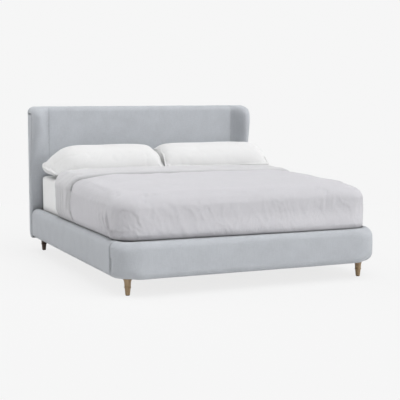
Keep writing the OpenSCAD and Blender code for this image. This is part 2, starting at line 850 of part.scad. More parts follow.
turn_n = 2 * (len(duvet_side) + turn_steps) + foot_steps + 1;
function head_distance(i) =
    let (j = min(i, turn_n - 1 - i))
    j < len(duvet_side) ? duvet_side[j] : 1000;

// Largest corner radius at which a hanging level of the duvet still clears its underside
inner_r = mattress_corner_r + duvet_gap;
corner_clear = 4;
function widest_corner(k, half) =
    k < 4 ? inner_r + (half - half_bed - duvet_gap - corner_clear) / (1 - cos(45)) : duvet_corner_r;

// One level of the duvet's skin; thick is its distance from the blanket
function duvet_level(k, shape, thick) =
    let (inset = shape[k][0],
         half = half_bed + duvet_gap + thick * duvet_hang_share - inset,
         foot = y_bed_foot - duvet_gap - thick * duvet_hang_share + inset,
         r = max(12, thick > 0 ? min(duvet_corner_r - inset, widest_corner(k, half))
             : inner_r - inset),
         back = y_duvet + duvet_edge(k))
    turn_path(half, foot, r, back, shape[k][1]);

duvet_inner_shape = over_profile(duvet_gap, mattress_edge_r + duvet_gap, 0);
duvet_crown = 8;
// Share of the duvet's thickness that is left where it hangs
duvet_hang_share = 0.6;
duvet_outer_shape = over_profile(duvet_gap + duvet_t, mattress_edge_r + duvet_gap + duvet_t + 30,
    duvet_t * 0.2, duvet_crown);
duvet_levels = len(duvet_inner_shape);
duvet_inner = [for (k = [0:duvet_levels - 1]) duvet_level(k, duvet_inner_shape, 0)];
duvet_full = [for (k = [0:duvet_levels - 1]) duvet_level(k, duvet_outer_shape, duvet_t)];

// Folds: the hanging sides and foot ripple outwards, most at mid drop
function fold(i, k) = duvet_fold * sin(i * 97) * [0.6, 1, 1, 0.7, 0.35, 0.15, 0, 0, 0, 0, 0][k];
// The head edge is plumper than the rest, from the shoulders inwards
lifts = [0, 0, 0, 0, 0.1, 0.4, 0.8, 1, 1, 1, 1];
head_rise_run = 560;
function head_rise(i) = duvet_head_loft * (1 - smooth(head_distance(i) / head_rise_run));
duvet_outer = [for (k = [0:duvet_levels - 1]) [for (i = [0:turn_n - 1])
    let (a = duvet_inner[k][i],
         b = duvet_full[k][i] + [0, 0, head_rise(i) * lifts[k]],
         w = edge_round(head_distance(i), 34),
         out = fold(i, k) / duvet_t)
    mix(a, b, w * (1 + out))]];

// Closed skin between two nests of turns. The innermost turn closes on itself down the
// middle of the bed: side_n points lie on each of its sides and the rest across its foot.
module cap_skin(outer, inner, side_n) {
    n = len(outer[0]);
    m = len(outer);
    base = n * m;
    polyhedron(
        points = concat([for (row = outer) each row], [for (row = inner) each row]),
        faces = concat(
            [for (k = [0:m - 2]) for (i = [0:n - 2]) each [
                [k * n + i, (k + 1) * n + i, (k + 1) * n + i + 1],
                [k * n + i, (k + 1) * n + i + 1, k * n + i + 1],
                [base + k * n + i, base + (k + 1) * n + i + 1, base + (k + 1) * n + i],
                [base + k * n + i, base + k * n + i + 1, base + (k + 1) * n + i + 1]]],
            [for (i = [0:n - 2]) each [
                [i, i + 1, base + i + 1],
                [i, base + i + 1, base + i]]],
            [for (k = [0:m - 2]) each [
                [k * n, base + k * n, base + (k + 1) * n],
                [k * n, base + (k + 1) * n, (k + 1) * n],
                [k * n + n - 1, base + (k + 1) * n + n - 1, base + k * n + n - 1],
                [k * n + n - 1, (k + 1) * n + n - 1, base + (k + 1) * n + n - 1]]],
            [for (i = [0:side_n - 2]) let (t = (m - 1) * n, p = n - 1 - i) each
                [[t + i, t + p, t + p - 1], [t + i, t + p - 1, t + i + 1],
                 [base + t + i, base + t + p - 1, base + t + p],
                 [base + t + i, base + t + i + 1, base + t + p - 1]]],
            [for (i = [side_n:n - side_n - 1]) let (t = (m - 1) * n, c = t + side_n - 1) each
                [[c, t + i + 1, t + i], [base + c, base + t + i, base + t + i + 1]]],
            [[(m - 1) * n, base + (m - 1) * n, base + m * n - 1],
             [(m - 1) * n, base + m * n - 1, m * n - 1]]));
}

module duvet() {
    color(duvet_colour) cap_skin(duvet_outer, duvet_inner, len(duvet_side) + turn_steps);
}

// Pillows

pillow_nu = 22;
pillow_nv = 13;
pillow_z = z_bed_top + pillow_seam_h;
pillow_part = 4;
pillow_shift = 3;
pillow_stagger = 12;
pillow_front_gap = 2;
pillow_y = y_blanket + pillow_front_gap + pillow_stagger + pillow_w / 2 * cos(pillow_tilt);

// A point of the pillow's seam plane and its fullness at u, v from -1 to 1
function pillow_plan(u, v) =
    [u * (pillow_l / 2 - pillow_waist * (1 - pow(v, 4)) * u * u),
     v * (pillow_w / 2 - pillow_waist * 0.8 * (1 - pow(u, 6)) * v * v)];
function pillow_full(u, v) =
    pow(max(0, 1 - pow(abs(u), 2.6)), 0.55) * pow(max(0, 1 - pow(abs(v), 2.2)), 0.6);
function pillow_point(u, v, fullness) =
    let (p = pillow_plan(u, v),
         w = fullness * pillow_full(u, v) - 26 * pow(abs(u), 5) * pow(abs(v), 3),
         y = p[1] * cos(pillow_tilt) - w * sin(pillow_tilt),
         z = p[1] * sin(pillow_tilt) + w * cos(pillow_tilt))
    [p[0], y, max(z_bed_top + seat_gap - pillow_z, z)];
// Points crowd towards the edges, where the form turns
function spread(t) = sin(90 * (2 * t - 1));

// A four-cornered face as two triangles, split from its first corner or its second
function halves(q, first) = first
    ? [[q[0], q[1], q[2]], [q[0], q[2], q[3]]]
    : [[q[0], q[1], q[3]], [q[1], q[2], q[3]]];

module pillow() {
    cols = pillow_nv + 1;
    inner_cols = pillow_nv - 1;
    upper = [for (i = [0:pillow_nu]) for (j = [0:pillow_nv])
        pillow_point(spread(i / pillow_nu), spread(j / pillow_nv), pillow_crown)];
    lower = [for (i = [1:pillow_nu - 1]) for (j = [1:pillow_nv - 1])
        pillow_point(spread(i / pillow_nu), spread(j / pillow_nv), -pillow_belly)];
    base = len(upper);
    function low(i, j) = i == 0 || j == 0 || i == pillow_nu || j == pillow_nv
        ? i * cols + j : base + (i - 1) * inner_cols + j - 1;
    polyhedron(
        points = concat(upper, lower),
        faces = [for (i = [0:pillow_nu - 1]) for (j = [0:pillow_nv - 1])
            let (rising = (i < pillow_nu / 2) == (j < pillow_nv / 2),
                 up = [i * cols + j, i * cols + j + 1, (i + 1) * cols + j + 1,
                       (i + 1) * cols + j],
                 down = [low(i, j), low(i + 1, j), low(i + 1, j + 1), low(i, j + 1)])
            each concat(halves(up, rising), halves(down, rising))]);
}

module placed_pillow(side) {
    color(white_colour)
        translate([side * (pillow_l / 2 + pillow_part) + pillow_shift,
                   pillow_y - (side < 0 ? pillow_stagger : 0), pillow_z])
            pillow();
}

headboard_panel();
mirrored(-1) wing();  // wing_left
wing();  // wing_right
headboard_back_cover();
headboard_board();
mirrored(-1) headboard_post();  // headboard_post_left
headboard_post();  // headboard_post_right
headboard_rail(z_frame_top - timber_w);  // headboard_rail_top
headboard_rail((z_frame + z_frame_top - timber_w) / 2);  // headboard_rail_middle
headboard_rail(z_hanger_bolt - timber_w / 2);  // headboard_rail_bottom
mirrored(-1) drilled_side_rail_board();  // side_rail_board_left
drilled_side_rail_board();  // side_rail_board_right
mirrored(-1) side_rail_cover();  // side_rail_cover_left
side_rail_cover();  // side_rail_cover_right
foot_rail_board();
foot_rail_cover();
mirrored(-1) corner_block();  // corner_block_left
corner_block();  // corner_block_right
mirrored(-1) head_bracket();  // head_bracket_left
head_bracket();  // head_bracket_right
frame_bolts();
mirrored(-1) ledger();  // ledger_left
ledger();  // ledger_right
slat_holders(-1);  // slat_holders_left
slat_holders(1);  // slat_holders_right
slat_saddles();
centre_beam();
translate([0, y_panel, 0]) mirror([0, 1, 0]) beam_hanger();  // beam_hanger_head
translate([0, y_foot_in, 0]) beam_hanger();  // beam_hanger_foot
centre_leg(-centre_leg_y);  // centre_leg_front
centre_leg(centre_leg_y);  // centre_leg_rear
levelling_foot(-centre_leg_y);  // levelling_foot_front
levelling_foot(centre_leg_y);  // levelling_foot_rear
placed_leg(-1, y_leg_front, oak_colour);  // leg_front_left
placed_leg(1, y_leg_front, oak_colour);  // leg_front_right
placed_leg(-1, y_leg_rear, dark_oak_colour);  // leg_rear_left
placed_leg(1, y_leg_rear, dark_oak_colour);  // leg_rear_right
leg_plates();
leg_bolts();
leg_glides();
for (i = [1:slat_count]) slat(i);
mattress();
fitted_sheet();
blanket();
duvet();
placed_pillow(-1);  // pillow_left
placed_pillow(1);  // pillow_right
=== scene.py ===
"""The looks of an upholstered bed with a winged headboard, made up with its bedding.

Everything is in metres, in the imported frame: X across the bed, +Y towards the headboard, +Z up.
"""

import json
import math

import bmesh
import bpy
import numpy as np
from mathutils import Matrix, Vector, noise


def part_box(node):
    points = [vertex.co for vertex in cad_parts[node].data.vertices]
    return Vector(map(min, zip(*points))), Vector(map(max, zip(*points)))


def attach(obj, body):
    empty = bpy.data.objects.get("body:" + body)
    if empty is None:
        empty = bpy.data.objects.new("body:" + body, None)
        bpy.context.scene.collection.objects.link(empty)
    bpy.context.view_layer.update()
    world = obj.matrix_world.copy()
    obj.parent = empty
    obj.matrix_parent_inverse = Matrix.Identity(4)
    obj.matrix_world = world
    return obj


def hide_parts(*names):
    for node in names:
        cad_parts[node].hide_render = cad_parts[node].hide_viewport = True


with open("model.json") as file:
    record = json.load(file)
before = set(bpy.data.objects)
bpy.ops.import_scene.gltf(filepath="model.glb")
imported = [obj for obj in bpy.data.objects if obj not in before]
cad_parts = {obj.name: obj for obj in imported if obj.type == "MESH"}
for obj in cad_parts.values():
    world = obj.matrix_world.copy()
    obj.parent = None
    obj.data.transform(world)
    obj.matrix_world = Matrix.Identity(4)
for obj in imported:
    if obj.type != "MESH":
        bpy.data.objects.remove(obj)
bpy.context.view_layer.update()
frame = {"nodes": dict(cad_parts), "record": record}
nodes = frame["nodes"]

# Camera, fitted to the photograph's straight edges

CAMERA_AT = (-3.034, -7.1192, 1.3138)
# Degrees
CAMERA_YAW = 23.608
CAMERA_PITCH = -6.134
# Millimetres
CAMERA_LENS = 92.04
SENSOR = 36.0


def new_object(name, data):
    found = bpy.data.objects.new(name, data)
    bpy.context.scene.collection.objects.link(found)
    return found


def make_camera():
    data = bpy.data.cameras.new("camera")
    data.lens = CAMERA_LENS
    data.sensor_width = SENSOR
    camera = new_object("camera", data)
    camera.location = CAMERA_AT
    camera.rotation_euler = (math.radians(90 + CAMERA_PITCH), 0, math.radians(-CAMERA_YAW))
    bpy.context.scene.camera = camera


make_camera()

# Sizes, read from the frame

rail_low, rail_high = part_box("side_rail_cover_right")
panel_low, panel_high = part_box("headboard_panel")
sheet_low, sheet_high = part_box("fitted_sheet")
foot_low, duvet_low, blanket_low = (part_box(node)[0] for node in
                                    ("foot_rail_cover", "duvet", "blanket"))

HALF_IN, HALF_OUT = rail_low.x, rail_high.x
RAIL_BOTTOM, RAIL_TOP = rail_low.z, rail_high.z
RAIL_T = HALF_OUT - HALF_IN
FOOT_T = 0.100
FOOT_CORNER_R = 0.170
# The rails' rounded edges: outer, outer at the middle of the foot corners, and inner
RAIL_EDGE_R = 0.044
CORNER_EDGE_R = 0.074
RAIL_INNER_R = 0.012
Y_FOOT, Y_SEAM = foot_low.y, rail_low.y
Y_PANEL, Y_BACK = panel_low.y, panel_high.y
HEADBOARD_TOP = panel_high.z
SEAM_X = panel_high.x
TOP_R = 0.045
HEEL_R = 0.060
FRONT_R = 0.010
HALF_BED, BED_TOP = sheet_high.x, sheet_high.z
Y_BED_FOOT = sheet_low.y
HEM_Z = duvet_low.z


def assign(owner, **values):
    for key, value in values.items():
        setattr(owner, key, value)


def smooth(t):
    c = np.clip(t, 0, 1)
    return c * c * (3 - 2 * c)


def mix(a, b, t):
    return a + (b - a) * t


def rounding(h):
    """How far a rounded edge has drawn in at the height h of its curve, from 0 to 1."""
    return 1 - math.sqrt(max(0.0, 1 - h * h))


def quarter(count):
    """Sine, and what the cosine lacks of 1, in steps over a quarter turn."""
    return [(math.sin(a), 1 - math.cos(a)) for a in np.linspace(0, math.pi / 2, count + 1)]


def line(a, b, count):
    """Points or numbers from a towards b, with a and without b."""
    return [mix(np.array(a, float), np.array(b, float), i / count) for i in range(count)]


def rounded(first, second, low, high, radii, sides, arcs):
    """Closed outline of a rounded box: up the side first, over to the side second and back.
    radii, sides and arcs hold each corner's radius and the steps before it and round it."""
    s = 1 if second > first else -1
    to_first, up, to_second, down = (np.array(way, float) for way in
                                     ((-s, 0), (0, 1), (s, 0), (0, -1)))
    ways = (to_first, up, to_second, down, to_first)
    ends = ((first, high), (second, high), (second, low), (first, low))
    centres = [end - r * (ways[k] + ways[k + 1]) for k, (end, r) in enumerate(zip(ends, radii))]
    found = []
    for k, (centre, r) in enumerate(zip(centres, radii)):
        found += line(centres[k - 1] + radii[k - 1] * ways[k], centre + r * ways[k], sides[k])
        for i in range(arcs[k]):
            a = math.radians(90 * i / arcs[k])
            found.append(centre + r * (math.cos(a) * ways[k] + math.sin(a) * ways[k + 1]))
    return np.array(found)


# Mesh helpers


def numbered(rows, cols, wrap=False):
    """The numbers of a grid's points, with the first column again at the end if it wraps."""
    ids = np.arange(rows * cols).reshape(rows, cols)
    return np.hstack([ids, ids[:, :1]]) if wrap else ids


def quads(ids, order=(0, 1, 2, 3)):
    """Faces between neighbours in a grid of point numbers, with each one's corners in order."""
    corners = (ids[:-1, :-1], ids[:-1, 1:], ids[1:, 1:], ids[1:, :-1])
    return np.stack([corners[k].ravel() for k in order], -1).tolist()


def make_object(name, points, faces):
    data = bpy.data.meshes.new(name)
    data.from_pydata(np.asarray(points, float).reshape(-1, 3).tolist(), [], faces)
    data.validate()
    tool = bmesh.new()
    tool.from_mesh(data)
    bmesh.ops.recalc_face_normals(tool, faces=tool.faces)
    tool.to_mesh(data)
    tool.free()
    data.shade_smooth()
    return new_object(name, data)


def loft(name, rings, closed=(0, -1)):
    """A skin through rings of points, with a flat face across each of the closed ones."""
    rings = np.asarray(rings, float)
    ids = numbered(*rings.shape[:2], wrap=True)
    return make_object(name, rings, quads(ids) + [ids[k, :-1].tolist() for k in closed])


def vectors(source, name):
    found = np.empty(len(source) * 3)
    source.foreach_get(name, found)
    return found.reshape(-1, 3)


def coordinates(piece):
    return vectors(piece.data.vertices, "co")


def set_coordinates(piece, co):
    piece.data.vertices.foreach_set("co", np.asarray(co, float).ravel())
    piece.data.update()


def noise_at(co, scale, seed=0.0):
    """Smooth noise from about -1 to 1 at each point; scale is one number or one for each axis."""
    scaled = co * np.array(scale, float) + seed
    return np.array([noise.noise(Vector(p)) for p in scaled]) * 1.6


def ridges(co, scale, seed=0.0):
    """Noise that is low nearly all over and rises to thin ridges."""
    return np.maximum(0, 1 - np.abs(noise_at(co, scale, seed)) * 3.2) ** 1.6


def displace(piece, amount):
    """Moves each point out along its normal."""
    normals = vectors(piece.data.vertex_normals, "vector")
    set_coordinates(piece, coordinates(piece) + normals * np.asarray(amount)[:, None])


# Materials

# The width in metres of one band of a wave texture at scale 1
WAVE_PERIOD = 0.314


def feed(node, **values):
    """Sets inputs of a node by name, with _ for a space."""
    for key, value in values.items():
        node.inputs[key.replace("_", " ")].default_value = value


class Nodes:
    """The node tree of a material or the world, emptied and then built by short calls."""

    def __init__(self, owner):
        owner.use_nodes = True
        self.tree = owner.node_tree
        self.tree.nodes.clear()

    def node(self, kind, sources=(), **settings):
        """Adds a node and feeds its first inputs from the sources, numbers or sockets."""
        found = self.tree.nodes.new(kind)
        assign(found, **settings)
        for socket, source in zip(found.inputs, sources):
            if isinstance(source, (int, float)):
                socket.default_value = source
            else:
                self.link(source, socket)
        return found

    def link(self, source, target):
        self.tree.links.new(source, target)

    def math(self, operation, a, b):
        return self.node("ShaderNodeMath", (a, b), operation=operation).outputs[0]

    def ranged(self, source, low, high, start=0.0, end=1.0):
        """The source's values from start to end, spread from low to high."""
        return self.node("ShaderNodeMapRange", (source, start, end, low, high)).outputs[0]

    def shade(self, kind, level):
        """A plain grey shader of any kind."""
        found = self.node(kind)
        feed(found, Color=(level, level, level, 1))
        return found.outputs[0]

    def mix_shaders(self, share, a, b):
        return self.node("ShaderNodeMixShader", (share, a, b)).outputs[0]

    def finish(self, kind, lighting, shown):
        """The camera and clear reflections see one shader, and all other light the other."""
        path = self.node("ShaderNodeLightPath").outputs
        clear = self.math("MAXIMUM", path["Is Glossy Ray"], path["Is Transmission Ray"])
        seen = self.math("MAXIMUM", path["Is Camera Ray"], clear)
        self.node(kind, (self.mix_shaders(seen, lighting, shown),))


class Look(Nodes):
    """A procedural material that ends at a principled shader."""

    def __init__(self, name, roughness, **inputs):
        self.material = bpy.data.materials.new(name)
        super().__init__(self.material)
        self.shader = self.node("ShaderNodeBsdfPrincipled")
        self.node("ShaderNodeOutputMaterial", (self.shader.outputs[0],))
        feed(self.shader, Roughness=roughness, **inputs)
        self.place = self.node("ShaderNodeTexCoord").outputs["Object"]

    def stretched(self, scale):
        mapping = self.node("ShaderNodeMapping", (self.place,))
        feed(mapping, Scale=scale)
        return mapping.outputs["Vector"]

    def noise(self, scale, detail=2.0, roughness=0.5, stretch=None):
        place = self.stretched(stretch) if stretch else self.place
        found = self.node("ShaderNodeTexNoise", (place,))
        feed(found, Scale=scale, Detail=detail, Roughness=roughness)
        return found.outputs["Fac"]

    def threads(self, period, axis):
        """Ribs as wide as the threads of a cloth, across one axis."""
        found = self.node("ShaderNodeTexWave", (self.place,), bands_direction=axis)
        feed(found, Scale=WAVE_PERIOD / period, Distortion=1.2, Detail=1.0, Detail_Scale=1.5)
        return found.outputs["Fac"]

    def total(self, *values):
        found = values[0]
        for value in values[1:]:
            found = self.math("ADD", found, value)
        return found

    def ramp(self, factor, stops):
        found = self.node("ShaderNodeValToRGB", (factor,))
        elements = found.color_ramp.elements
        while len(elements) < len(stops):
            elements.new(0.5)
        for element, (position, colour) in zip(elements, stops):
            element.position = position
            element.color = (*colour, 1)
        return found.outputs["Color"]

    def colour(self, source):
        self.link(source, self.shader.inputs["Base Color"])

    def rough(self, factor, low, high):
        self.link(self.ranged(factor, low, high), self.shader.inputs["Roughness"])

    def painted_crevice_shade(self, colour, depth, reach=0.045):
        """Painted shade: the colour, darker where the surface lies deep between others, as in a
        fold or seam, where shade falls.
        """
        found = self.node("ShaderNodeAmbientOcclusion", samples=4)
        feed(found, Distance=reach)
        dark = self.node("ShaderNodeVectorMath", (colour,), operation="SCALE")
        self.link(self.ranged(found.outputs["AO"], 1 - depth, 1.0), dark.inputs["Scale"])
        return dark.outputs[0]

    def bump(self, height, distance, strength=1.0):
        found = self.node("ShaderNodeBump")
        feed(found, Distance=distance, Strength=strength)
        self.link(height, found.inputs["Height"])
        self.link(found.outputs["Normal"], self.shader.inputs["Normal"])


def tinted(colour, share):
    return tuple(min(1.0, c * share) for c in colour)


def cloth_look(name, colour, thread, slub=0.06, bump=0.0006, sheen=0.2, roughness=0.9,
               painted_crevice_shade=0.6):
    """Woven cloth: crossed threads, thicker slubs along them, a slight mottle, and painted shade
    in its folds and seams.
    """
    look = Look(name, roughness, Sheen_Weight=sheen, Sheen_Roughness=0.4,
                Sheen_Tint=(1, 1, 1, 1))
    weave = look.total(*(look.threads(thread, axis) for axis in "XYZ"))
    level = look.noise(1.0, 3.0, 0.6, stretch=(38, 38, 240))
    upright = look.noise(1.0, 3.0, 0.6, stretch=(240, 240, 30))
    mottle = look.noise(9.0, 4.0, 0.55)
    fleck = look.math("MULTIPLY", look.total(level, upright, mottle), 1 / 3)
    woven = look.ramp(fleck, [(0.30, tinted(colour, 1 - slub)), (0.50, colour),
                              (0.70, tinted(colour, 1 + slub))])
    # Painted shade: the weave's colour is darkened in folds, seams and gaps between pieces, where
    # shade falls.
    look.colour(look.painted_crevice_shade(woven, painted_crevice_shade))
    relief = look.total(look.math("MULTIPLY", weave, 0.4), level, upright)
    look.bump(relief, bump)
    look.rough(fleck, roughness - 0.06, min(1.0, roughness + 0.06))
    return look.material


def wood_look(name, dark, light, along, roughness=0.5):
    """Wood with its grain along one axis: growth rings, pores and a slight change of tone."""
    look = Look(name, roughness)

    def scales(across, lengthways):
        return tuple(lengthways if axis == along else across for axis in "XYZ")

    grain = look.noise(1.0, 5.0, 0.6, stretch=scales(26.0, 1.6))
    pore = look.noise(1.0, 2.0, 0.5, stretch=scales(420.0, 14.0))
    tone = look.math("MULTIPLY", look.total(look.math("MULTIPLY", grain, 1.5), pore), 0.4)
    between = tuple(mix(np.array(dark), np.array(light), 0.6))
    look.colour(look.ramp(tone, [(0.32, dark), (0.55, between), (0.72, light)]))
    look.rough(pore, roughness - 0.08, roughness + 0.12)
    look.bump(look.total(grain, pore), 0.0004)
    return look.material


# Scale and detail of the grain and of the clouds, the clouds' tones, and how uneven the gloss is
METAL = ((900.0, 2.0), (14.0, 4.0), ((0.35, 0.88), (0.65, 1.1)), 0.08)
PLASTIC = ((700.0, 3.0), (20.0, 3.0), ((0.3, 0.8), (0.7, 1.3)), 0.10)


def grained_look(kind, name, colour, roughness, metallic=0.0):
    """Metal, powder coat or moulded plastic, with a fine grain and cloudy tone and gloss."""
    grain, cloud, tones, gloss = kind
    look = Look(name, roughness, Metallic=metallic)
    cloudy = look.noise(*cloud)
    look.colour(look.ramp(cloudy, [(at, tinted(colour, share)) for at, share in tones]))
    look.rough(cloudy, roughness - gloss, roughness + 0.1)
    look.bump(look.noise(*grain), 0.0002)
    return look.material


UPHOLSTERY = (0.580, 0.606, 0.643)
WHITE_COTTON = (0.790, 0.790, 0.790)
# The sheet's white is a lighter copy of the pillows' white cotton: painted light, so that the
# sheet's sides look lit.
SHEET_COTTON_PAINTED_LIGHT = (0.960, 0.960, 0.958)
DUVET_LINEN = (0.672, 0.665, 0.696)
BLANKET_CLOTH = (0.690, 0.687, 0.704)

# Every cloth look below carries painted shade in its folds and seams, at the default depth unless
# a depth is given.
looks = {
    "upholstery": cloth_look("upholstery_weave", UPHOLSTERY, 0.0016, slub=0.10, bump=0.0010,
                             painted_crevice_shade=0.85),
    "white_cotton": cloth_look("white_cotton", WHITE_COTTON, 0.0007, slub=0.02, bump=0.0003,
                               painted_crevice_shade=0.35),
    "sheet_cotton_painted_light": cloth_look("sheet_cotton_painted_light", SHEET_COTTON_PAINTED_LIGHT, 0.0007, slub=0.015, bump=0.0002),
    "mattress_fabric": cloth_look("mattress_ticking", (0.86, 0.86, 0.84), 0.0012, slub=0.03),
    "duvet_linen": cloth_look("duvet_linen", DUVET_LINEN, 0.0010, slub=0.035, bump=0.0006,
                              painted_crevice_shade=0.65),
    "blanket_cloth": cloth_look("blanket_cloth", BLANKET_CLOTH, 0.0012, slub=0.03, painted_crevice_shade=0.85),
    "oak": wood_look("oak", (0.27, 0.175, 0.090), (0.50, 0.36, 0.215), "Z"),
    # A darker copy of the oak: painted shade, for legs that stand in the bed's shadow.
    "dark_oak": wood_look("dark_oak", (0.040, 0.022, 0.014), (0.105, 0.062, 0.040), "Z"),
    "pine": wood_look("pine", (0.50, 0.34, 0.18), (0.68, 0.52, 0.33), "Y", 0.65),
    "slat_wood": wood_look("birch", (0.56, 0.42, 0.26), (0.74, 0.62, 0.45), "X", 0.5),
    "plywood": wood_look("plywood", (0.46, 0.32, 0.19), (0.66, 0.51, 0.34), "X", 0.7),
    "steel": grained_look(METAL, "zinc_plated_steel", (0.60, 0.61, 0.63), 0.38, 1.0),
    "black_steel": grained_look(METAL, "black_powder_coat", (0.030, 0.030, 0.032), 0.45),
    "black_plastic": grained_look(PLASTIC, "black_plastic", (0.035, 0.035, 0.036), 0.55),
    "felt": cloth_look("felt", (0.10, 0.097, 0.092), 0.0009, slub=0.15, bump=0.0006),
}


def paint(piece, look):
    if not piece.data.materials:
        piece.data.materials.append(None)
    for index in range(len(piece.data.materials)):
        piece.data.materials[index] = looks[look]


for part in frame["record"]["subparts"]:
    paint(nodes[part["node"]], part["material_slot"])


def dress(piece, body, slot, *replaced):
    """Paints a new piece, lets it ride on its body and hides the solids that it stands for."""
    paint(piece, slot)
    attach(piece, body)
    if replaced:
        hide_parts(*replaced)
    return piece


# Upholstered rails

# How far a cover is drawn in at a sewn end, over what length, and where its rings lie there
TUCK = 0.0140
TUCK_RUN = 0.020
TUCK_STEPS = (0.0, 0.0002, 0.0008, 0.002, 0.004, 0.007, 0.011, 0.0155, 0.020)
RAIL_END_R = 0.030
RAIL_CROWN = 0.004
INNER_SINK = 0.0012


def tuck_at(distance, depth=TUCK):
    """How far the cover is drawn in at a distance from its sewn end."""
    return depth * rounding(max(0.0, 1 - distance / TUCK_RUN))


def with_ends(low, high, step, extra=()):
    """Places from low to high, close together near the two sewn ends."""
    count = max(2, round((high - low) / step))
    found = {round(mix(low, high, i / count), 6) for i in range(1, count)}
    for d in (*TUCK_STEPS, *extra):
        found |= {round(low + d, 6), round(high - d, 6)}
    return sorted(found)


def padded_section(thickness, tuck, drop=0.0, edge_r=RAIL_EDGE_R):
    """The rail's section as pairs, distance in from the outer face and height. The outer face
    is padded; tuck draws the section in and drop lowers its top."""
    edge_r = min(edge_r, thickness - RAIL_INNER_R - 0.004)
    section = rounded(thickness, 0, RAIL_BOTTOM, RAIL_TOP,
                      (RAIL_INNER_R, edge_r, edge_r, RAIL_INNER_R), (8, 4, 12, 4), (4, 8, 8, 4))
    middle, half = (RAIL_BOTTOM + RAIL_TOP) / 2, (RAIL_TOP - RAIL_BOTTOM) / 2
    share = (section[:, 1] - middle) / half
    section[:, 0] -= RAIL_CROWN * (1 - share ** 2) * (1 - section[:, 0] / thickness)
    section[:, 0] = np.minimum(section[:, 0], thickness - INNER_SINK)
    centre = np.array([thickness / 2, middle])
    section = centre + (section - centre) * (1 - tuck / np.array([thickness / 2, half]))
    section[:, 1] -= drop * (section[:, 1] - RAIL_BOTTOM) / (2 * half)
    return section


def pucker(piece, height, seed):
    """The slight unevenness of cloth pulled over padding."""
    co = coordinates(piece)
    displace(piece, height * (noise_at(co, 7, seed) + 0.5 * noise_at(co, 19, seed + 9)))


def side_rail(side):
    rings = []
    steps = [RAIL_END_R * c for _, c in quarter(6)[1:]]
    for y in with_ends(Y_SEAM, Y_PANEL, 0.03, steps):
        tuck = tuck_at(min(y - Y_SEAM, Y_PANEL - y))
        drop = RAIL_END_R * rounding(max(0.0, 1 - (Y_PANEL - y) / RAIL_END_R))
        section = padded_section(RAIL_T, tuck, drop)
        rings.append([(side * (HALF_OUT - d), y, z) for d, z in section])
    name = "side_rail_upholstery_" + ("left" if side < 0 else "right")
    piece = loft(name, rings)
    pucker(piece, 0.0007, seed=side)
    return piece


def foot_rail():
    """The foot rail's cover, swept from one seam round both corners to the other."""
    centre = np.array([HALF_OUT - FOOT_CORNER_R, Y_FOOT + FOOT_CORNER_R])
    straight = Y_SEAM - centre[1]
    bend = FOOT_CORNER_R * math.pi / 2
    half_length = straight + bend + centre[0]
    rings = []
    for s in with_ends(-half_length, half_length, 0.02):
        run = half_length - abs(s)
        round_corner = math.sin(math.pi * min(1.0, max(0.0, (run - straight) / bend)))
        edge_r = mix(RAIL_EDGE_R, CORNER_EDGE_R, smooth(round_corner))
        if run < straight:
            outer, out, t = np.array([HALF_OUT, Y_SEAM - run]), np.array([1.0, 0.0]), RAIL_T
        elif run < straight + bend:
            a = (run - straight) / FOOT_CORNER_R
            out = np.array([math.cos(a), -math.sin(a)])
            outer = centre + FOOT_CORNER_R * out
            t = mix(RAIL_T, FOOT_T, smooth(a / (math.pi / 2)))
        else:
            outer, out, t = np.array([abs(s), Y_FOOT]), np.array([0.0, -1.0]), FOOT_T
        section = padded_section(t, tuck_at(run), edge_r=edge_r)
        side = -1 if s < 0 else 1
        rings.append([(side * (outer[0] - d * out[0]), outer[1] - d * out[1], z)
                      for d, z in section])
    piece = loft("foot_rail_upholstery", rings)
    pucker(piece, 0.0008, seed=5)
    return piece


dress(side_rail(-1), "frame", "upholstery", "side_rail_cover_left")
dress(side_rail(1), "frame", "upholstery", "side_rail_cover_right")
dress(foot_rail(), "frame", "upholstery", "foot_rail_cover")

# Headboard: the flat panel, and the wings whose rolled front edges come forward to the top

# The wing's front edge comes this far forward, between these heights
WING_REACH = 0.109
WING_LOW_Z = 0.620
WING_HIGH_Z = 1.060
WING_ROLL_R = 0.055
WING_FOOT_R = 0.010
WING_BROW_H = 0.090
WING_BACK_R = 0.022
PANEL_CROWN = 0.004
PANEL_TUCK = 0.0018
# The side strip ends at this height in a notch, and lies this much under the wing's side
STRIP_TOP = 1.125
STRIP_SINK = 0.001
NOTCH = 0.013
# Section across the strip's seam: distance behind it, and how deep the covers are drawn in there
STRIP_GROOVE = ((-0.014, 0.0), (-0.009, 0.0020), (-0.004, 0.0065), (0.0, 0.0120), (0.004, 0.0085),
                (0.009, 0.0040), (0.014, 0.001))
# The side strip's front seam: its distance behind the wing's front edge, by height
STRIP_SEAM = ((0.12, 0.010), (0.36, 0.010), (0.62, 0.012), (0.90, 0.016), (1.03, 0.018),
              (1.12, 0.016))


def headboard_panel():
    rings = []
    section = rounded(Y_PANEL, Y_BACK, RAIL_BOTTOM, HEADBOARD_TOP,
                      (TOP_R, TOP_R, HEEL_R, FRONT_R), (44, 2, 20, 3), (10, 10, 10, 3))
    centre = np.array([(Y_PANEL + Y_BACK) / 2, (RAIL_BOTTOM + HEADBOARD_TOP) / 2])
    half = np.array([(Y_BACK - Y_PANEL) / 2, (HEADBOARD_TOP - RAIL_BOTTOM) / 2])
    for x in with_ends(-SEAM_X, SEAM_X, 0.025):
        tuck = tuck_at(SEAM_X - abs(x), PANEL_TUCK)
        ring = centre + (section - centre) * (1 - tuck / half)
        across = 1 - (x / SEAM_X) ** 4
        front = np.clip((Y_BACK - section[:, 0]) / (Y_BACK - Y_PANEL), 0, 1)
        up = np.clip((section[:, 1] - RAIL_BOTTOM) / (HEADBOARD_TOP - RAIL_BOTTOM), 0, 1)
        ring[:, 0] -= PANEL_CROWN * across * front * np.sin(math.pi * up)
        rings.append([(x, y, z) for y, z in ring])
    piece = loft("headboard_front", rings)
    pucker(piece, 0.0007, seed=11)
    return piece


def wing_swell(z):
    return smooth((z - WING_LOW_Z) / (WING_HIGH_Z - WING_LOW_Z))


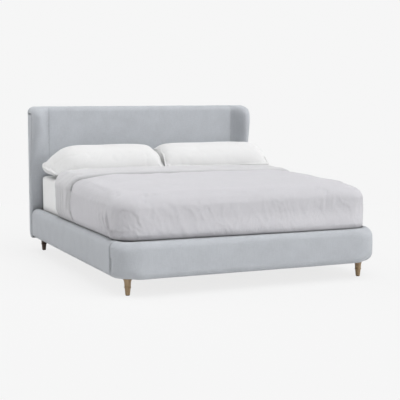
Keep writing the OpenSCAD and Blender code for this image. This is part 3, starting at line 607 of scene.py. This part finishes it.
def wing_section(z):
    """Level section of the right wing, from its seam round the front roll and the side strip."""
    top_draw = TOP_R * rounding(max(0.0, z - HEADBOARD_TOP + TOP_R) / TOP_R)
    brow = (WING_REACH + TOP_R) * rounding(max(0.0, z - HEADBOARD_TOP + WING_BROW_H) / WING_BROW_H)
    heel = HEEL_R * rounding(max(0.0, RAIL_BOTTOM + HEEL_R - z) / HEEL_R)
    seam_y = Y_PANEL + top_draw
    tip_y = min(seam_y, Y_PANEL - WING_REACH * wing_swell(z) + brow)
    back_y = Y_BACK - max(top_draw, heel)
    depth = back_y - tip_y
    r = min(mix(WING_FOOT_R, WING_ROLL_R, wing_swell(z)), depth * 0.55)
    back_r = min(WING_BACK_R, depth * 0.4)
    out_x = HALF_OUT - top_draw
    tip_x = out_x - r
    points = []
    for t in np.linspace(0, 1, 27):
        x = mix(SEAM_X, tip_x, t)
        points.append((x, mix(seam_y, tip_y, smooth(t)) + tuck_at(x - SEAM_X, PANEL_TUCK)))
    points += [(tip_x + r * s, tip_y + r * c) for s, c in quarter(12)[1:]]
    side_y = tip_y + r
    end_y = back_y - back_r
    heights, insets = zip(*STRIP_SEAM)
    strip_y = side_y + float(np.interp(z, heights, insets)) * min(1, (end_y - side_y) / 0.06)
    open_at = smooth((STRIP_TOP - z) / 0.006)
    notch = NOTCH * math.exp(-((z - STRIP_TOP + 0.004) / 0.005) ** 2)
    sunk = STRIP_SINK * open_at
    for step, depth in STRIP_GROOVE:
        points.append((out_x - depth * open_at, max(side_y, min(end_y, strip_y + step))))
    strip_start = max(side_y, min(end_y, strip_y + STRIP_GROOVE[-1][0]))
    points += [(out_x - sunk - notch, y) for y in line(strip_start, end_y, 7)[1:]]
    points += [(out_x - back_r * c - sunk * (1 - c) ** 2, back_y - back_r * (1 - s))
               for s, c in quarter(6)]
    points += line((out_x - back_r, back_y), (SEAM_X, back_y), 6)[1:]
    points += line((SEAM_X, back_y), (SEAM_X, seam_y + TUCK), 6)
    return [(x, y, z) for x, y in points]


def wing_levels():
    low = [RAIL_BOTTOM + HEEL_R * c for _, c in quarter(8)]
    body = line(RAIL_BOTTOM + HEEL_R, HEADBOARD_TOP - WING_BROW_H, 70)[1:]
    brow = [HEADBOARD_TOP - WING_BROW_H * (1 - s) for s, _ in quarter(24)]
    notch = [STRIP_TOP - d for d in (0.006, 0.0045, 0.003, 0.0015, 0.0)]
    return sorted(low + body + brow + notch)


def wing(side):
    rings = [[(side * x, y, z) for x, y, z in wing_section(z)] for z in wing_levels()]
    piece = loft("headboard_wing_upholstery_" + ("left" if side < 0 else "right"), rings)
    pucker(piece, 0.0006, seed=20 + side)
    return piece


dress(headboard_panel(), "frame", "upholstery", "headboard_panel")
dress(wing(-1), "frame", "upholstery", "wing_left")
dress(wing(1), "frame", "upholstery", "wing_right")

# Cloth that hangs over the mattress: a grid of cells maps to a rounded box, so that the
# cloth keeps one mesh from hem to hem

# From the foot and from each side, the cloth's top falls over this distance
DOME_RUN = 0.340
# The duvet's weight lowers the mattress's foot corners by this much, from this far out
CORNER_PRESS = 0.036
CORNER_X = 0.70
CORNER_Z = 0.40
CORNER_RUN = 0.20
# The share of its height over which a hem is drawn in
HEM_RISE = 0.26


class Shell:
    """One skin over the bed. It lies flat, turns over a rounded shoulder and hangs to its hem."""

    def __init__(self, half, foot, top, corner_r, shoulder_r, hem_in=0.0, dome=0.0):
        self.half, self.foot, self.top = half, foot, top
        self.shoulder_r, self.hem_in, self.dome = shoulder_r, hem_in, dome
        self.core_x, self.core_y = half - corner_r, foot + corner_r
        self.flat = corner_r - shoulder_r
        self.arc = shoulder_r * math.pi / 2
        self.reach = self.flat + self.arc + top - shoulder_r - HEM_Z

    def profile(self, t):
        """Distance out from the core and height, at the share t of the way to the hem."""
        s = np.asarray(t, float) * self.reach
        a = np.clip((s - self.flat) / self.shoulder_r, 0, math.pi / 2)
        out = np.minimum(s, self.flat) + self.shoulder_r * np.sin(a)
        down = self.shoulder_r * (1 - np.cos(a)) + np.maximum(0, s - self.flat - self.arc)
        low = np.clip(1 - (self.top - down - HEM_Z) / (HEM_RISE * (self.top - HEM_Z)), 0, 1)
        return out - self.hem_in * low ** 1.6, self.top - down

    def place(self, u, v, head):
        """Point of the skin. u goes from -2 to 2 and v from 0 to 2; beyond 1 the cloth has left
        the flat core and hangs. head is the y of the head edge."""
        x = np.clip(u, -1, 1) * self.core_x
        y = mix(head, self.core_y, np.clip(v, 0, 1))
        over_u, over_v = np.clip(np.abs(u) - 1, 0, 1), np.clip(v - 1, 0, 1)
        t = np.maximum(over_u, over_v)
        safe = np.maximum(t, 1e-9)
        turn = np.where(over_u >= over_v, over_v / safe, 2 - over_u / safe) * math.pi / 4
        out, z = self.profile(t)
        x = x + np.sign(u) * out * np.cos(turn) * (t > 0)
        y = y - out * np.sin(turn) * (over_v > 0)
        droop = (2 - smooth((self.half - np.abs(x)) / DOME_RUN)
                 - smooth((y - self.foot) / DOME_RUN))
        z = HEM_Z + (z - HEM_Z) * (1 - self.dome / (self.top - HEM_Z) * droop)
        return np.stack([x, y, z], axis=-1)


def edge_curve(points, at):
    """Smooth curve through points (t, value), read at an array of t."""
    t, value = (np.array(p, float) for p in zip(*points))
    at = np.asarray(at, float)
    index = np.clip(np.searchsorted(t, at) - 1, 0, len(t) - 2)
    share = smooth(np.clip(at - t[index], 0, None) / (t[index + 1] - t[index]))
    return mix(value[index], value[index + 1], share)


def edge_fill(distance, r, start=0.12):
    """Fullness from a closed edge, as thick there as start, to the whole thickness over r."""
    h = np.clip(distance / r, 0, 1)
    return mix(start, 1.0, np.sqrt(1 - (1 - h) ** 2))


def press_corners(co):
    """The points, lower where the duvet weighs the mattress's foot corners down."""
    outwards = smooth((np.abs(co[..., 0]) - CORNER_X) / CORNER_RUN)
    footwards = smooth((Y_BED_FOOT + CORNER_RUN - co[..., 1]) / CORNER_RUN)
    up = smooth((co[..., 2] - CORNER_Z) / CORNER_RUN)
    found = co.copy()
    found[..., 2] -= CORNER_PRESS * outwards * footwards * up
    return found


def skin_pair(name, outer, inner):
    """A closed piece from two grids of points, joined along their borders."""
    ids = numbered(*outer.shape[:2])
    count = ids.size
    faces = quads(ids) + quads(ids + count, (3, 2, 1, 0))
    border = np.concatenate([ids[0], ids[1:, -1], ids[-1, -2::-1], ids[-2:0:-1, 0]]).tolist()
    for here, after in zip(border, border[1:] + border[:1]):
        faces.append([after, here, count + here, count + after])
    return make_object(name, np.concatenate([outer.reshape(-1, 3), inner.reshape(-1, 3)]), faces)


def billow(piece, held, pressure, growth, cap, frames, stiffness=12.0):
    """Cloth simulation: air inside the piece fills it while the cloth is a little too large,
    so it creases. held is the share by which each point is kept in place, and cap is the
    furthest that a point may move."""
    start = coordinates(piece)
    group = piece.vertex_groups.new(name="held")
    for index, weight in enumerate(held):
        if weight > 0:
            group.add([index], float(weight), "REPLACE")
    cloth = piece.modifiers.new("cloth", "CLOTH")
    assign(cloth.settings, quality=6, mass=0.25, tension_stiffness=stiffness,
           compression_stiffness=stiffness, shear_stiffness=stiffness / 2,
           bending_stiffness=0.4, air_damping=3.0, use_pressure=True,
           uniform_pressure_force=pressure, shrink_min=-growth, vertex_group_mass="held",
           pin_stiffness=1.0)
    cloth.settings.effector_weights.gravity = 0
    cloth.collision_settings.use_collision = False
    assign(cloth.point_cache, frame_start=1, frame_end=frames)
    scene = bpy.context.scene
    for number in range(1, frames + 1):
        scene.frame_set(number)
    graph = bpy.context.evaluated_depsgraph_get()
    moved = np.array([v.co for v in piece.evaluated_get(graph).data.vertices])
    piece.modifiers.remove(cloth)
    piece.vertex_groups.remove(group)
    scene.frame_set(1)
    step = moved - start
    length = np.linalg.norm(step, axis=1, keepdims=True)
    set_coordinates(piece, start + step * np.minimum(1, cap / np.maximum(length, 1e-9)))


# Duvet over the lower half of the bed

# Its thickness, its gap to the bed, and the share of the thickness that hangs
DUVET_T = 0.040
DUVET_GAP = 0.0103
DUVET_HANG = 0.60
DUVET_CORNER_R = 0.145
DUVET_SHOULDER_R = 0.090
DUVET_HEM_IN = 0.008
DUVET_CROWN = 0.012
DUVET_DOME = 0.030
MATTRESS_CORNER_R = 0.085
MATTRESS_EDGE_R = 0.026
Y_DUVET = 0.0435
# Where the duvet's head edge lies from Y_DUVET: by x on the top, and by height down the sides
DUVET_TOP_EDGE = ((-0.90, 0.018), (-0.74, 0.027), (-0.58, 0.030), (-0.42, 0.012), (-0.26, 0.026),
                  (-0.05, 0.014), (0.12, 0.026), (0.30, 0.020), (0.46, 0.009), (0.66, 0.024),
                  (0.90, 0.018))
DUVET_SIDE_EDGE = ((0.352, -0.104), (0.375, -0.050), (0.410, -0.010), (0.450, 0.018),
                   (0.500, 0.016), (0.550, -0.006), (0.600, -0.020), (0.640, -0.010), (0.680, 0.0))
# How far the hem is spread over the foot rail, by x
DUVET_FLARE = ((-0.86, 0.0), (-0.70, 0.012), (-0.40, 0.018), (0.0, 0.030), (0.30, 0.042),
               (0.72, 0.042), (0.90, 0.020))
# The filling's rise towards the head edge: by distance from it, and how it varies across the bed
DUVET_RISE = ((0.0, 0.001), (0.06, 0.009), (0.16, 0.014), (0.32, 0.010), (0.56, 0.0))
DUVET_RISE_ACROSS = ((-0.90, 0.9), (-0.66, 1.1), (-0.52, 1.25), (-0.40, 0.55), (-0.28, 1.0),
                     (-0.20, 0.6), (-0.08, 1.2), (0.10, 0.8), (0.26, 1.15), (0.48, 0.6),
                     (0.66, 1.2), (0.90, 0.9))
# Distances from the head edge to the duvet's first rows of points, and to the even rows after them
HEAD_STEPS = (0.0, 0.0012, 0.003, 0.006, 0.010, 0.015, 0.022)
HEAD_RUN = 0.031
FOOT_RUN = 0.16

duvet_shell = Shell(HALF_BED + DUVET_GAP + DUVET_T * DUVET_HANG,
                    Y_BED_FOOT - DUVET_GAP - DUVET_T * DUVET_HANG,
                    BED_TOP + DUVET_GAP + DUVET_T + DUVET_CROWN, DUVET_CORNER_R,
                    DUVET_SHOULDER_R, DUVET_HEM_IN, DUVET_DOME)


def columns(hang, core):
    """Shares across a cloth: -2 to -1 and 1 to 2 over its hang, and between them over the core."""
    return line(-2, -1, hang) + line(-1, 1, core) + line(1, 2, hang) + [2.0]


def duvet_grid(cell):
    """The duvet's columns and rows: shares of the core, and beyond 1 of the hang."""
    length = Y_DUVET - duvet_shell.core_y
    hang = round(duvet_shell.reach / cell)
    fine = 1 - FOOT_RUN / length
    even = round((length - HEAD_RUN - FOOT_RUN) / cell)
    rows = ([d / length for d in HEAD_STEPS] + line(HEAD_RUN / length, fine, even)
            + line(fine, 1, 28) + line(1, 2, hang) + [2.0])
    return np.meshgrid(columns(hang, round(2 * duvet_shell.core_x / cell)), rows)


def duvet_edge(x, z):
    """The y of the duvet's head edge, on the top and down the sides."""
    top = edge_curve(DUVET_TOP_EDGE, x) * smooth((z - 0.58) / 0.07)
    return Y_DUVET + top + edge_curve(DUVET_SIDE_EDGE, z)


def duvet():
    inner_shell = Shell(HALF_BED + DUVET_GAP, Y_BED_FOOT - DUVET_GAP, BED_TOP + DUVET_GAP,
                        MATTRESS_CORNER_R + DUVET_GAP, MATTRESS_EDGE_R + DUVET_GAP)
    u, v = duvet_grid(0.0102)
    plain = duvet_shell.place(u, v, Y_DUVET)
    head = duvet_edge(plain[0, :, 0], plain[0, :, 2])[None, :]
    outer = duvet_shell.place(u, v, head)
    inner = press_corners(inner_shell.place(u, v, head))
    beyond = np.maximum(np.abs(u), v)
    from_edge = np.where(v < 1, v * (head - duvet_shell.core_y), 9)
    across = mix(edge_curve(DUVET_RISE_ACROSS, np.clip(u, -1, 1) * 0.9), 1,
                 smooth(from_edge / 0.25))
    rise = edge_curve(DUVET_RISE, from_edge) * across
    outer[..., 2] += rise * smooth((outer[..., 2] - BED_TOP + 0.05) / 0.10)
    fill = edge_fill(from_edge, 0.020, 0.30) * edge_fill(2 - beyond, 0.02, 0.75)
    outer = mix(inner, outer, fill[..., None])
    for skin in (outer, inner):
        spread = smooth((Y_BED_FOOT + 0.060 - skin[..., 1]) / 0.050)
        low = smooth((0.50 - skin[..., 2]) / 0.15)
        skin[..., 1] -= edge_curve(DUVET_FLARE, skin[..., 0]) * low * spread
    piece = skin_pair("duvet_cover", outer, inner)
    rim = np.minimum(smooth(v / 0.05), smooth((2 - beyond) / 0.08)).ravel()
    billow(piece, np.concatenate([1 - rim, np.ones(u.size)]), pressure=1.0, growth=0.006,
           cap=0.004, frames=14)
    crease_duvet(piece, np.concatenate([rim, np.zeros(u.size)]))
    return piece


# Creases that stand out: two ends on the duvet in x, y, z, half width, height
DUVET_CREASES = (
    ((0.155, -1.035, 0.600), (0.245, -1.035, 0.545), 0.010, 0.0045),
    ((0.060, -1.035, 0.625), (0.130, -1.035, 0.585), 0.009, 0.0030),
    ((-0.120, -1.035, 0.440), (-0.060, -1.035, 0.500), 0.009, 0.0035),
    ((-0.160, -1.035, 0.370), (-0.120, -1.035, 0.440), 0.009, 0.0030),
    ((0.560, -1.035, 0.600), (0.540, -1.035, 0.470), 0.010, 0.0035),
    ((0.640, -1.035, 0.615), (0.620, -1.035, 0.500), 0.010, 0.0035),
    ((0.440, -1.035, 0.540), (0.380, -1.035, 0.400), 0.010, 0.0030),
    ((0.330, -1.010, 0.655), (0.380, -1.030, 0.625), 0.009, 0.0030),
)
# Pleats folded over at the foot corners: how far round the corner each edge lies, by height
PLEATS = (((0.350, 0.070), (0.360, 0.050), (0.374, 0.026), (0.400, 0.002), (0.434, -0.050),
           (0.492, -0.078), (0.600, -0.095)),
          ((0.350, 0.062), (0.374, 0.005), (0.414, -0.090), (0.470, -0.150), (0.600, -0.190)),
          ((0.350, 0.030), (0.374, -0.060), (0.414, -0.170), (0.470, -0.240), (0.600, -0.270)))
PLEAT_H = (0.0150, 0.0080, 0.0050)
PLEAT_TOP = 0.560


def pleats(co):
    """Height of the pleats: each rises slowly towards the foot and ends in a sharp edge."""
    x, y = np.abs(co[:, 0]) - duvet_shell.core_x, duvet_shell.core_y - co[:, 1]
    round_corner = DUVET_CORNER_R * np.arctan2(np.maximum(y, 0), np.maximum(x, 1e-6))
    past = np.where(y < 0, y, np.where(x < 0, DUVET_CORNER_R * math.pi / 2 - x, round_corner))
    total = np.zeros(len(co))
    fade = smooth((PLEAT_TOP - co[:, 2]) / 0.10)
    for line_points, height in zip(PLEATS, PLEAT_H):
        away = past - edge_curve(line_points, co[:, 2])
        total += height * np.exp(-(away / np.where(away < 0, 0.040, 0.005)) ** 2)
    return total * fade


def crease(co, start, end, width, height):
    """Height of one crease at each point: highest mid way along it, and nothing at its ends."""
    a, b = np.array(start), np.array(end)
    along = b - a
    t = np.clip((co - a) @ along / (along @ along), 0, 1)
    bow = np.sin(t * math.pi)
    away = np.linalg.norm(co - a - t[:, None] * along, axis=1)
    return height * bow * np.exp(-(away / width) ** 2)


def crease_duvet(piece, outside):
    """Soft unevenness of the filling on top, and fine linen creases down the sides and foot."""
    co = coordinates(piece)
    hang = smooth((BED_TOP + 0.03 - co[:, 2]) / 0.10)
    soft = 0.0020 * noise_at(co, 3.2, 4.0) + 0.0010 * noise_at(co, 9.0, 7.0)
    bent = co.copy()
    bent[:, 0] += 0.030 * noise_at(co, 4.0, 21.0) + 0.22 * (co[:, 2] - HEM_Z)
    bent[:, 1] += 0.030 * noise_at(co, 4.0, 22.0)
    slant = co.copy()
    slant[:, 0] -= 0.60 * (co[:, 2] - HEM_Z)
    patches = smooth(0.5 + 0.9 * noise_at(co, 3.6, 25.0))
    sharp = 0.0032 * ridges(bent, (15, 15, 4.4), 2.0) + 0.0020 * ridges(slant, (24, 24, 6), 5.0)
    faint = 0.0010 * (noise_at(bent, (40, 40, 14), 8.0) + noise_at(co, (11, 11, 7), 9.0))
    falls = patches * sharp + faint
    fine = 0.0008 * ridges(co, (9, 24, 9), 1.0)
    height = outside * (soft + hang * falls + (1 - hang) * fine)
    for one in DUVET_CREASES:
        height += outside * crease(co, *one)
    displace(piece, height + np.minimum(1, outside * 2) * pleats(co))


duvet_piece = dress(duvet(), "duvet", "duvet_linen", "duvet")

# Blanket across the bed, full where it shows and pressed flat under the duvet

# Its thickness under the duvet and where it is rolled over
BLANKET_T = 0.0097
BLANKET_LOFT = 0.078
BLANKET_GAP = 0.0005
BLANKET_HANG = 0.43
BLANKET_HEM_IN = 0.16
# The roll grows to its height over this run, at the side and on top, from this far out
PRESS_RUN = 0.058
PRESS_RUN_TOP = 0.026
PRESS_LEAD = 0.008
Y_BLANKET = 0.5125
# The roll's fullness by x, and how far its head edge lies back, by share of the hang
BLANKET_FULL = ((-0.90, 0.94), (-0.70, 1.05), (-0.50, 1.13), (-0.30, 1.12), (-0.05, 1.06),
                (0.25, 1.03), (0.60, 0.97), (0.90, 0.90))
# Folds down the sides, which follow the head edge: their distances from it
BLANKET_FOLDS = (0.060, 0.130, 0.205, 0.275)
BLANKET_EDGE = ((0.0, 0.0), (0.14, -0.016), (0.30, -0.050), (0.50, -0.066), (0.70, -0.066),
                (0.84, -0.080), (0.93, -0.115), (1.0, -0.175))


def blanket_skin(u, y, thick, full):
    """The blanket's skin at a thickness over the sheet; it hangs straight down at each side."""
    over = np.clip(np.abs(u) - 1, 0, 1)
    half = HALF_BED + BLANKET_GAP + thick * BLANKET_HANG
    top = BED_TOP + BLANKET_GAP + thick * full
    shoulder = MATTRESS_EDGE_R + BLANKET_GAP + thick
    core = half - shoulder
    arc = shoulder * math.pi / 2
    s = over * (arc + top - shoulder - HEM_Z)
    a = np.clip(s / shoulder, 0, math.pi / 2)
    down = shoulder * (1 - np.cos(a)) + np.maximum(0, s - arc)
    z = top - down
    low = np.clip(1 - (z - HEM_Z) / (HEM_RISE * (BED_TOP - HEM_Z)), 0, 1)
    out = core + shoulder * np.sin(a) - BLANKET_HEM_IN * thick * low ** 1.6
    x = np.where(over > 0, np.sign(u) * out, np.clip(u, -1, 1) * core)
    return np.stack([x, y, z], axis=-1)


def blanket():
    far = Y_BLANKET - blanket_low.y
    run = ([0, 0.0015, 0.004, 0.008, 0.014, 0.022] + line(0.031, 0.34, 28)
           + line(0.34, 0.60, 48) + line(0.60, far, 16) + [far])
    u, d = np.meshgrid(columns(34, 150), run)
    over = np.clip(np.abs(u) - 1, 0, 1)
    y = Y_BLANKET - d + edge_curve(BLANKET_EDGE, over) * np.maximum(0, 1 - d / 0.5)
    plain = blanket_skin(u, y, BLANKET_LOFT + 0 * d, 1)
    past = y - duvet_edge(plain[..., 0], plain[..., 2])
    press_run = mix(PRESS_RUN, PRESS_RUN_TOP, smooth((plain[..., 2] - 0.60) / 0.07))
    pressed = 1 - edge_fill(past - PRESS_LEAD, press_run, 0)
    thick = mix(BLANKET_LOFT, BLANKET_T, pressed) * edge_fill(d, 0.032)
    full = mix(edge_curve(BLANKET_FULL, np.clip(u, -1, 1) * 0.9), 1, pressed)
    inner = press_corners(blanket_skin(u, y, 0 * thick, 1))
    outer = press_corners(blanket_skin(u, y, thick, full))
    piece = skin_pair("blanket_cover", outer, inner)
    shows = smooth((past - PRESS_LEAD - 0.02) / 0.05) * smooth(d / 0.012)
    shows = (shows * smooth((2 - np.abs(u)) / 0.10)).ravel()
    billow(piece, np.concatenate([1 - shows, np.ones(u.size)]), pressure=1.2, growth=0.016,
           cap=0.006, frames=14)
    co = coordinates(piece)
    outside = np.concatenate([shows, np.zeros(u.size)])
    hang = smooth((BED_TOP + 0.01 - co[:, 2]) / 0.10)
    soft = 0.0030 * noise_at(co, (4, 6, 5), 14.0) + 0.0013 * noise_at(co, (10, 16, 12), 15.0)
    from_head = np.concatenate([d.ravel(), d.ravel()]) + 0.020 * noise_at(co, 7.0, 17.0)
    valleys = sum(np.exp(-((from_head - place) / 0.018) ** 2) for place in BLANKET_FOLDS)
    folds = (0.0015 - 0.0060 * valleys) * (1 + 0.8 * noise_at(co, (3, 3, 6), 18.0))
    displace(piece, outside * (soft + hang * folds))
    return piece


blanket_piece = dress(blanket(), "blanket", "blanket_cloth", "blanket")

# Pillows

# Degrees by which the pillows lean on the headboard
PILLOW_TILT = 12.0
PILLOW_W = 0.440
# How round the corners of the pillows' ends are: the left pillow's left end, and the others
PILLOW_ROUND = (0.42, 0.14)
PILLOW_SEAM_H = 0.116
PILLOW_CROWN = 0.136
PILLOW_BELLY = 0.122
# The share of its height at which the simulation starts, and its gap to the bed
PILLOW_START = 0.90
PILLOW_REST = 0.0004
PILLOW_SOFT = 0.010
# How far the left pillow's left end sinks
PILLOW_DIP = 0.030


def pillow_grid(cols, rows):
    """Shares from -1 to 1 along and across, closer together near the seams."""
    def crowd(count):
        t = np.linspace(-1, 1, count)
        return mix(t, np.sin(t * math.pi / 2), 0.75)
    return np.meshgrid(crowd(cols), crowd(rows))


def pillow(side):
    """A sewn bag, filled by the simulation and then laid where the plain solid is."""
    node = "pillow_left" if side < 0 else "pillow_right"
    low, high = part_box(node)
    length = high.x - low.x
    cols, rows = 120, 66
    a, b = pillow_grid(cols, rows)
    outer_end = (a < 0) * (side < 0) * smooth(-a)
    rounder = mix(PILLOW_ROUND[1], PILLOW_ROUND[0], outer_end)
    slanted = 1 + 0.5 * outer_end * smooth(b)
    x = a * np.sqrt(1 - slanted * rounder * b * b / 2) * length / 2
    y = b * np.sqrt(1 - rounder * a * a / 2) * PILLOW_W / 2
    along = np.clip(1 - np.abs(a) ** mix(10.0, 2.4, outer_end), 0, 1)
    across = np.clip(1 - np.abs(b) ** 2.2, 0, 1)
    dip = PILLOW_DIP * outer_end * a * a
    upper = PILLOW_CROWN * PILLOW_START * along ** mix(0.52, 0.60, outer_end) * across ** 0.62
    lower = PILLOW_BELLY * PILLOW_START * along ** 0.5 * across ** 0.5
    upper, lower = np.stack([x, y, upper - dip], -1), np.stack([x, y, -lower - dip], -1)
    points = np.concatenate([upper.reshape(-1, 3), lower[1:-1, 1:-1].reshape(-1, 3)])
    above = numbered(rows, cols)
    below = above.copy()
    below[1:-1, 1:-1] = rows * cols + numbered(rows - 2, cols - 2)
    piece = make_object(node + "_cover", points, quads(above) + quads(below, (0, 3, 2, 1)))
    billow(piece, np.zeros(len(points)), pressure=4.0, growth=0.012, cap=0.014, frames=16,
           stiffness=18)
    lay_pillow(piece, side, low, high)
    return piece


def lay_pillow(piece, side, low, high):
    """Brings a filled pillow to its size, leans it back and flattens it where it rests."""
    co = coordinates(piece)
    span = co.max(0) - co.min(0)
    co -= (co.max(0) + co.min(0)) / 2 * np.array([1, 1, 0])
    co[:, 0] *= (high.x - low.x) / span[0]
    co[:, 1] *= PILLOW_W / span[1]
    co[:, 2] *= np.where(co[:, 2] > 0, PILLOW_CROWN / co[:, 2].max(),
                         PILLOW_BELLY / -co[:, 2].min())
    tilt = math.radians(PILLOW_TILT)
    y = co[:, 1] * math.cos(tilt) - co[:, 2] * math.sin(tilt)
    z = co[:, 1] * math.sin(tilt) + co[:, 2] * math.cos(tilt)
    co[:, 1], co[:, 2] = y, z
    co[:, 0] += (low.x + high.x) / 2
    co[:, 1] += (low.y + high.y) / 2 - (y.max() + y.min()) / 2
    co[:, 2] += BED_TOP + PILLOW_SEAM_H
    floor = BED_TOP + PILLOW_REST
    over = co[:, 2] - floor
    pressed = PILLOW_SOFT * np.exp((over - PILLOW_SOFT) / PILLOW_SOFT)
    co[:, 2] = floor + np.where(over > PILLOW_SOFT, over, pressed)
    set_coordinates(piece, co)
    crease_pillow(piece, side)


# Creases of the pillows that stand out: two ends in x, y, z, half width, height
PILLOW_CREASES = (
    ((0.375, 0.570, 0.690), (0.385, 0.640, 0.830), 0.014, 0.0060),
    ((0.350, 0.600, 0.800), (0.300, 0.680, 0.860), 0.014, 0.0030),
    ((0.560, 0.580, 0.700), (0.545, 0.640, 0.800), 0.016, 0.0030),
    ((0.700, 0.590, 0.690), (0.740, 0.650, 0.780), 0.014, 0.0030),
    ((-0.440, 0.580, 0.700), (-0.430, 0.640, 0.820), 0.014, 0.0035),
    ((-0.300, 0.580, 0.690), (-0.290, 0.630, 0.780), 0.016, 0.0030),
    ((-0.780, 0.620, 0.720), (-0.640, 0.640, 0.790), 0.016, 0.0030),
)


def crease_pillow(piece, side):
    co = coordinates(piece)
    soft = 0.0022 * noise_at(co, (6, 8, 8), 30.0 + side)
    bent = co.copy()
    bent[:, 0] += 0.03 * noise_at(co, 5.0, 35.0 + side)
    fine = 0.0020 * ridges(bent, (8, 10, 5), 33.0 + side)
    clear = smooth((co[:, 2] - BED_TOP - 0.01) / 0.05)
    marks = sum(crease(co, *one) for one in PILLOW_CREASES)
    displace(piece, clear * (soft + fine + marks))


for pillow_side, name in ((-1, "pillow_left"), (1, "pillow_right")):
    pillow_piece = dress(pillow(pillow_side), name, "white_cotton", name)

# Mattress and its fitted sheet

# Steps over the mattress's height, round each corner, and along each side
SLAB_LEVELS, SLAB_CORNER, SLAB_SIDE = 10, 10, 24
SHEET_T = 0.0016
# How far the fitted sheet's elastic hem lies in under the mattress
SHEET_UNDER = 0.09

slab_low, slab_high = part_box("mattress")


def slab_rings(grow):
    """Level outlines of the mattress from its base to its top, grown by grow."""
    low, high, edge_r = slab_low.z - grow, slab_high.z + grow, MATTRESS_EDGE_R + grow
    edge = [(edge_r * c, edge_r * (1 - s)) for s, c in quarter(6)]
    levels = ([(low + up, inset) for up, inset in edge]
              + [(z, 0.0) for z in line(low + edge_r, high - edge_r, SLAB_LEVELS)[1:]]
              + [(high - up, inset) for up, inset in reversed(edge)])
    rings = []
    for z, inset in levels:
        out = grow - inset
        outline = rounded(slab_high.x + out, slab_low.x - out, slab_low.y - out,
                          slab_high.y + out, [MATTRESS_CORNER_R + out] * 4, [SLAB_SIDE] * 4,
                          [SLAB_CORNER] * 4)
        # Each ring starts at a corner
        rings.append([(x, y, z) for x, y in np.roll(outline, -SLAB_SIDE, axis=0)])
    return np.array(rings)


def fitted_sheet():
    """The sheet: over the top and down the sides, and under the edge to its elastic hem."""
    rings = press_corners(slab_rings(SHEET_T))
    half = np.array((slab_high - slab_low) / 2)
    centre = np.array([*(slab_low + slab_high)[:2], 2 * rings[0, 0, 2]]) / 2
    hems = [centre + (rings[0] - centre) * (1 - SHEET_UNDER * share / half)
            for share in (1, 0.66, 0.33)]
    piece = loft("fitted_sheet_cover", np.concatenate([hems, rings]), closed=[-1])
    co = coordinates(piece)
    side = smooth((BED_TOP - co[:, 2]) / 0.05)
    corner = smooth((np.abs(co[:, 0]) - 0.80) / 0.08) * smooth((np.abs(co[:, 1]) - 0.88) / 0.08)
    gathers = 0.0007 * side * corner * noise_at(co, (40, 40, 4), 41)
    displace(piece, 0.0004 * noise_at(co, 8, 40) + gathers)
    return piece


mattress_piece = dress(loft("mattress_core", press_corners(slab_rings(0.0))), "mattress",
                       "mattress_fabric", "mattress")
sheet_piece = dress(fitted_sheet(), "mattress", "white_cotton", "fitted_sheet")
# The sheet takes the lighter copy of the white cotton: painted light.
paint(sheet_piece, "sheet_cotton_painted_light")

# Floor, backdrop and light

BACKDROP = 0.921
WORLD_LIGHT = 0.13
# The floor as it lights the bed, and as it is seen with the bed's shadow
FLOOR_GREY = 0.78
PAPER = 0.86
FLOOR_SIZE = 60.0
# The share of the backdrop's glow in the floor near the bed; it grows to 1 over these distances
NEAR_GLOW = 0.86
GLOW_RUN = (1.5, 4.5)
# Degrees
LAMP_ANGLE = 60


def make_floor():
    """A pale floor that keeps the bed's shadow and blends into the backdrop."""
    data = bpy.data.meshes.new("floor")
    s = FLOOR_SIZE
    data.from_pydata([(-s, -s, 0), (s, -s, 0), (s, s, 0), (-s, s, 0)], [], [(0, 1, 2, 3)])
    new_object("floor", data)
    material = bpy.data.materials.new("floor")
    tree = Nodes(material)
    bounce = tree.shade("ShaderNodeBsdfDiffuse", FLOOR_GREY)
    paper = tree.shade("ShaderNodeBsdfDiffuse", PAPER)
    glow = tree.shade("ShaderNodeEmission", BACKDROP)
    place = tree.node("ShaderNodeTexCoord").outputs["Object"]
    far = tree.node("ShaderNodeVectorMath", (place,), operation="LENGTH").outputs["Value"]
    share = tree.ranged(far, NEAR_GLOW, 1.0, *GLOW_RUN)
    tree.finish("ShaderNodeOutputMaterial", bounce, tree.mix_shaders(share, paper, glow))
    data.materials.append(material)


def make_world():
    world = bpy.data.worlds.new("studio")
    bpy.context.scene.world = world
    tree = Nodes(world)
    light = tree.node("ShaderNodeBackground")
    feed(light, Strength=WORLD_LIGHT)
    tree.finish("ShaderNodeOutputWorld", light.outputs[0],
                tree.shade("ShaderNodeBackground", BACKDROP))


def make_sun(name, towards, strength):
    """A broad soft lamp that shines along the direction towards."""
    data = bpy.data.lights.new(name, "SUN")
    data.energy = strength
    data.angle = math.radians(LAMP_ANGLE)
    lamp = new_object(name, data)
    lamp.rotation_euler = Vector(towards).to_track_quat("-Z", "Y").to_euler()


make_floor()
make_world()
make_sun("top_lamp", (0.0, 0.1, -1.0), 1.66)
make_sun("front_lamp", (-0.60, 1.0, -0.77), 1.43)
make_sun("left_lamp", (1.0, -1.2, -0.6), 1.27)
make_sun("right_lamp", (-1.0, 0.2, -0.6), 0.45)
bpy.context.scene.view_settings.view_transform = "Standard"
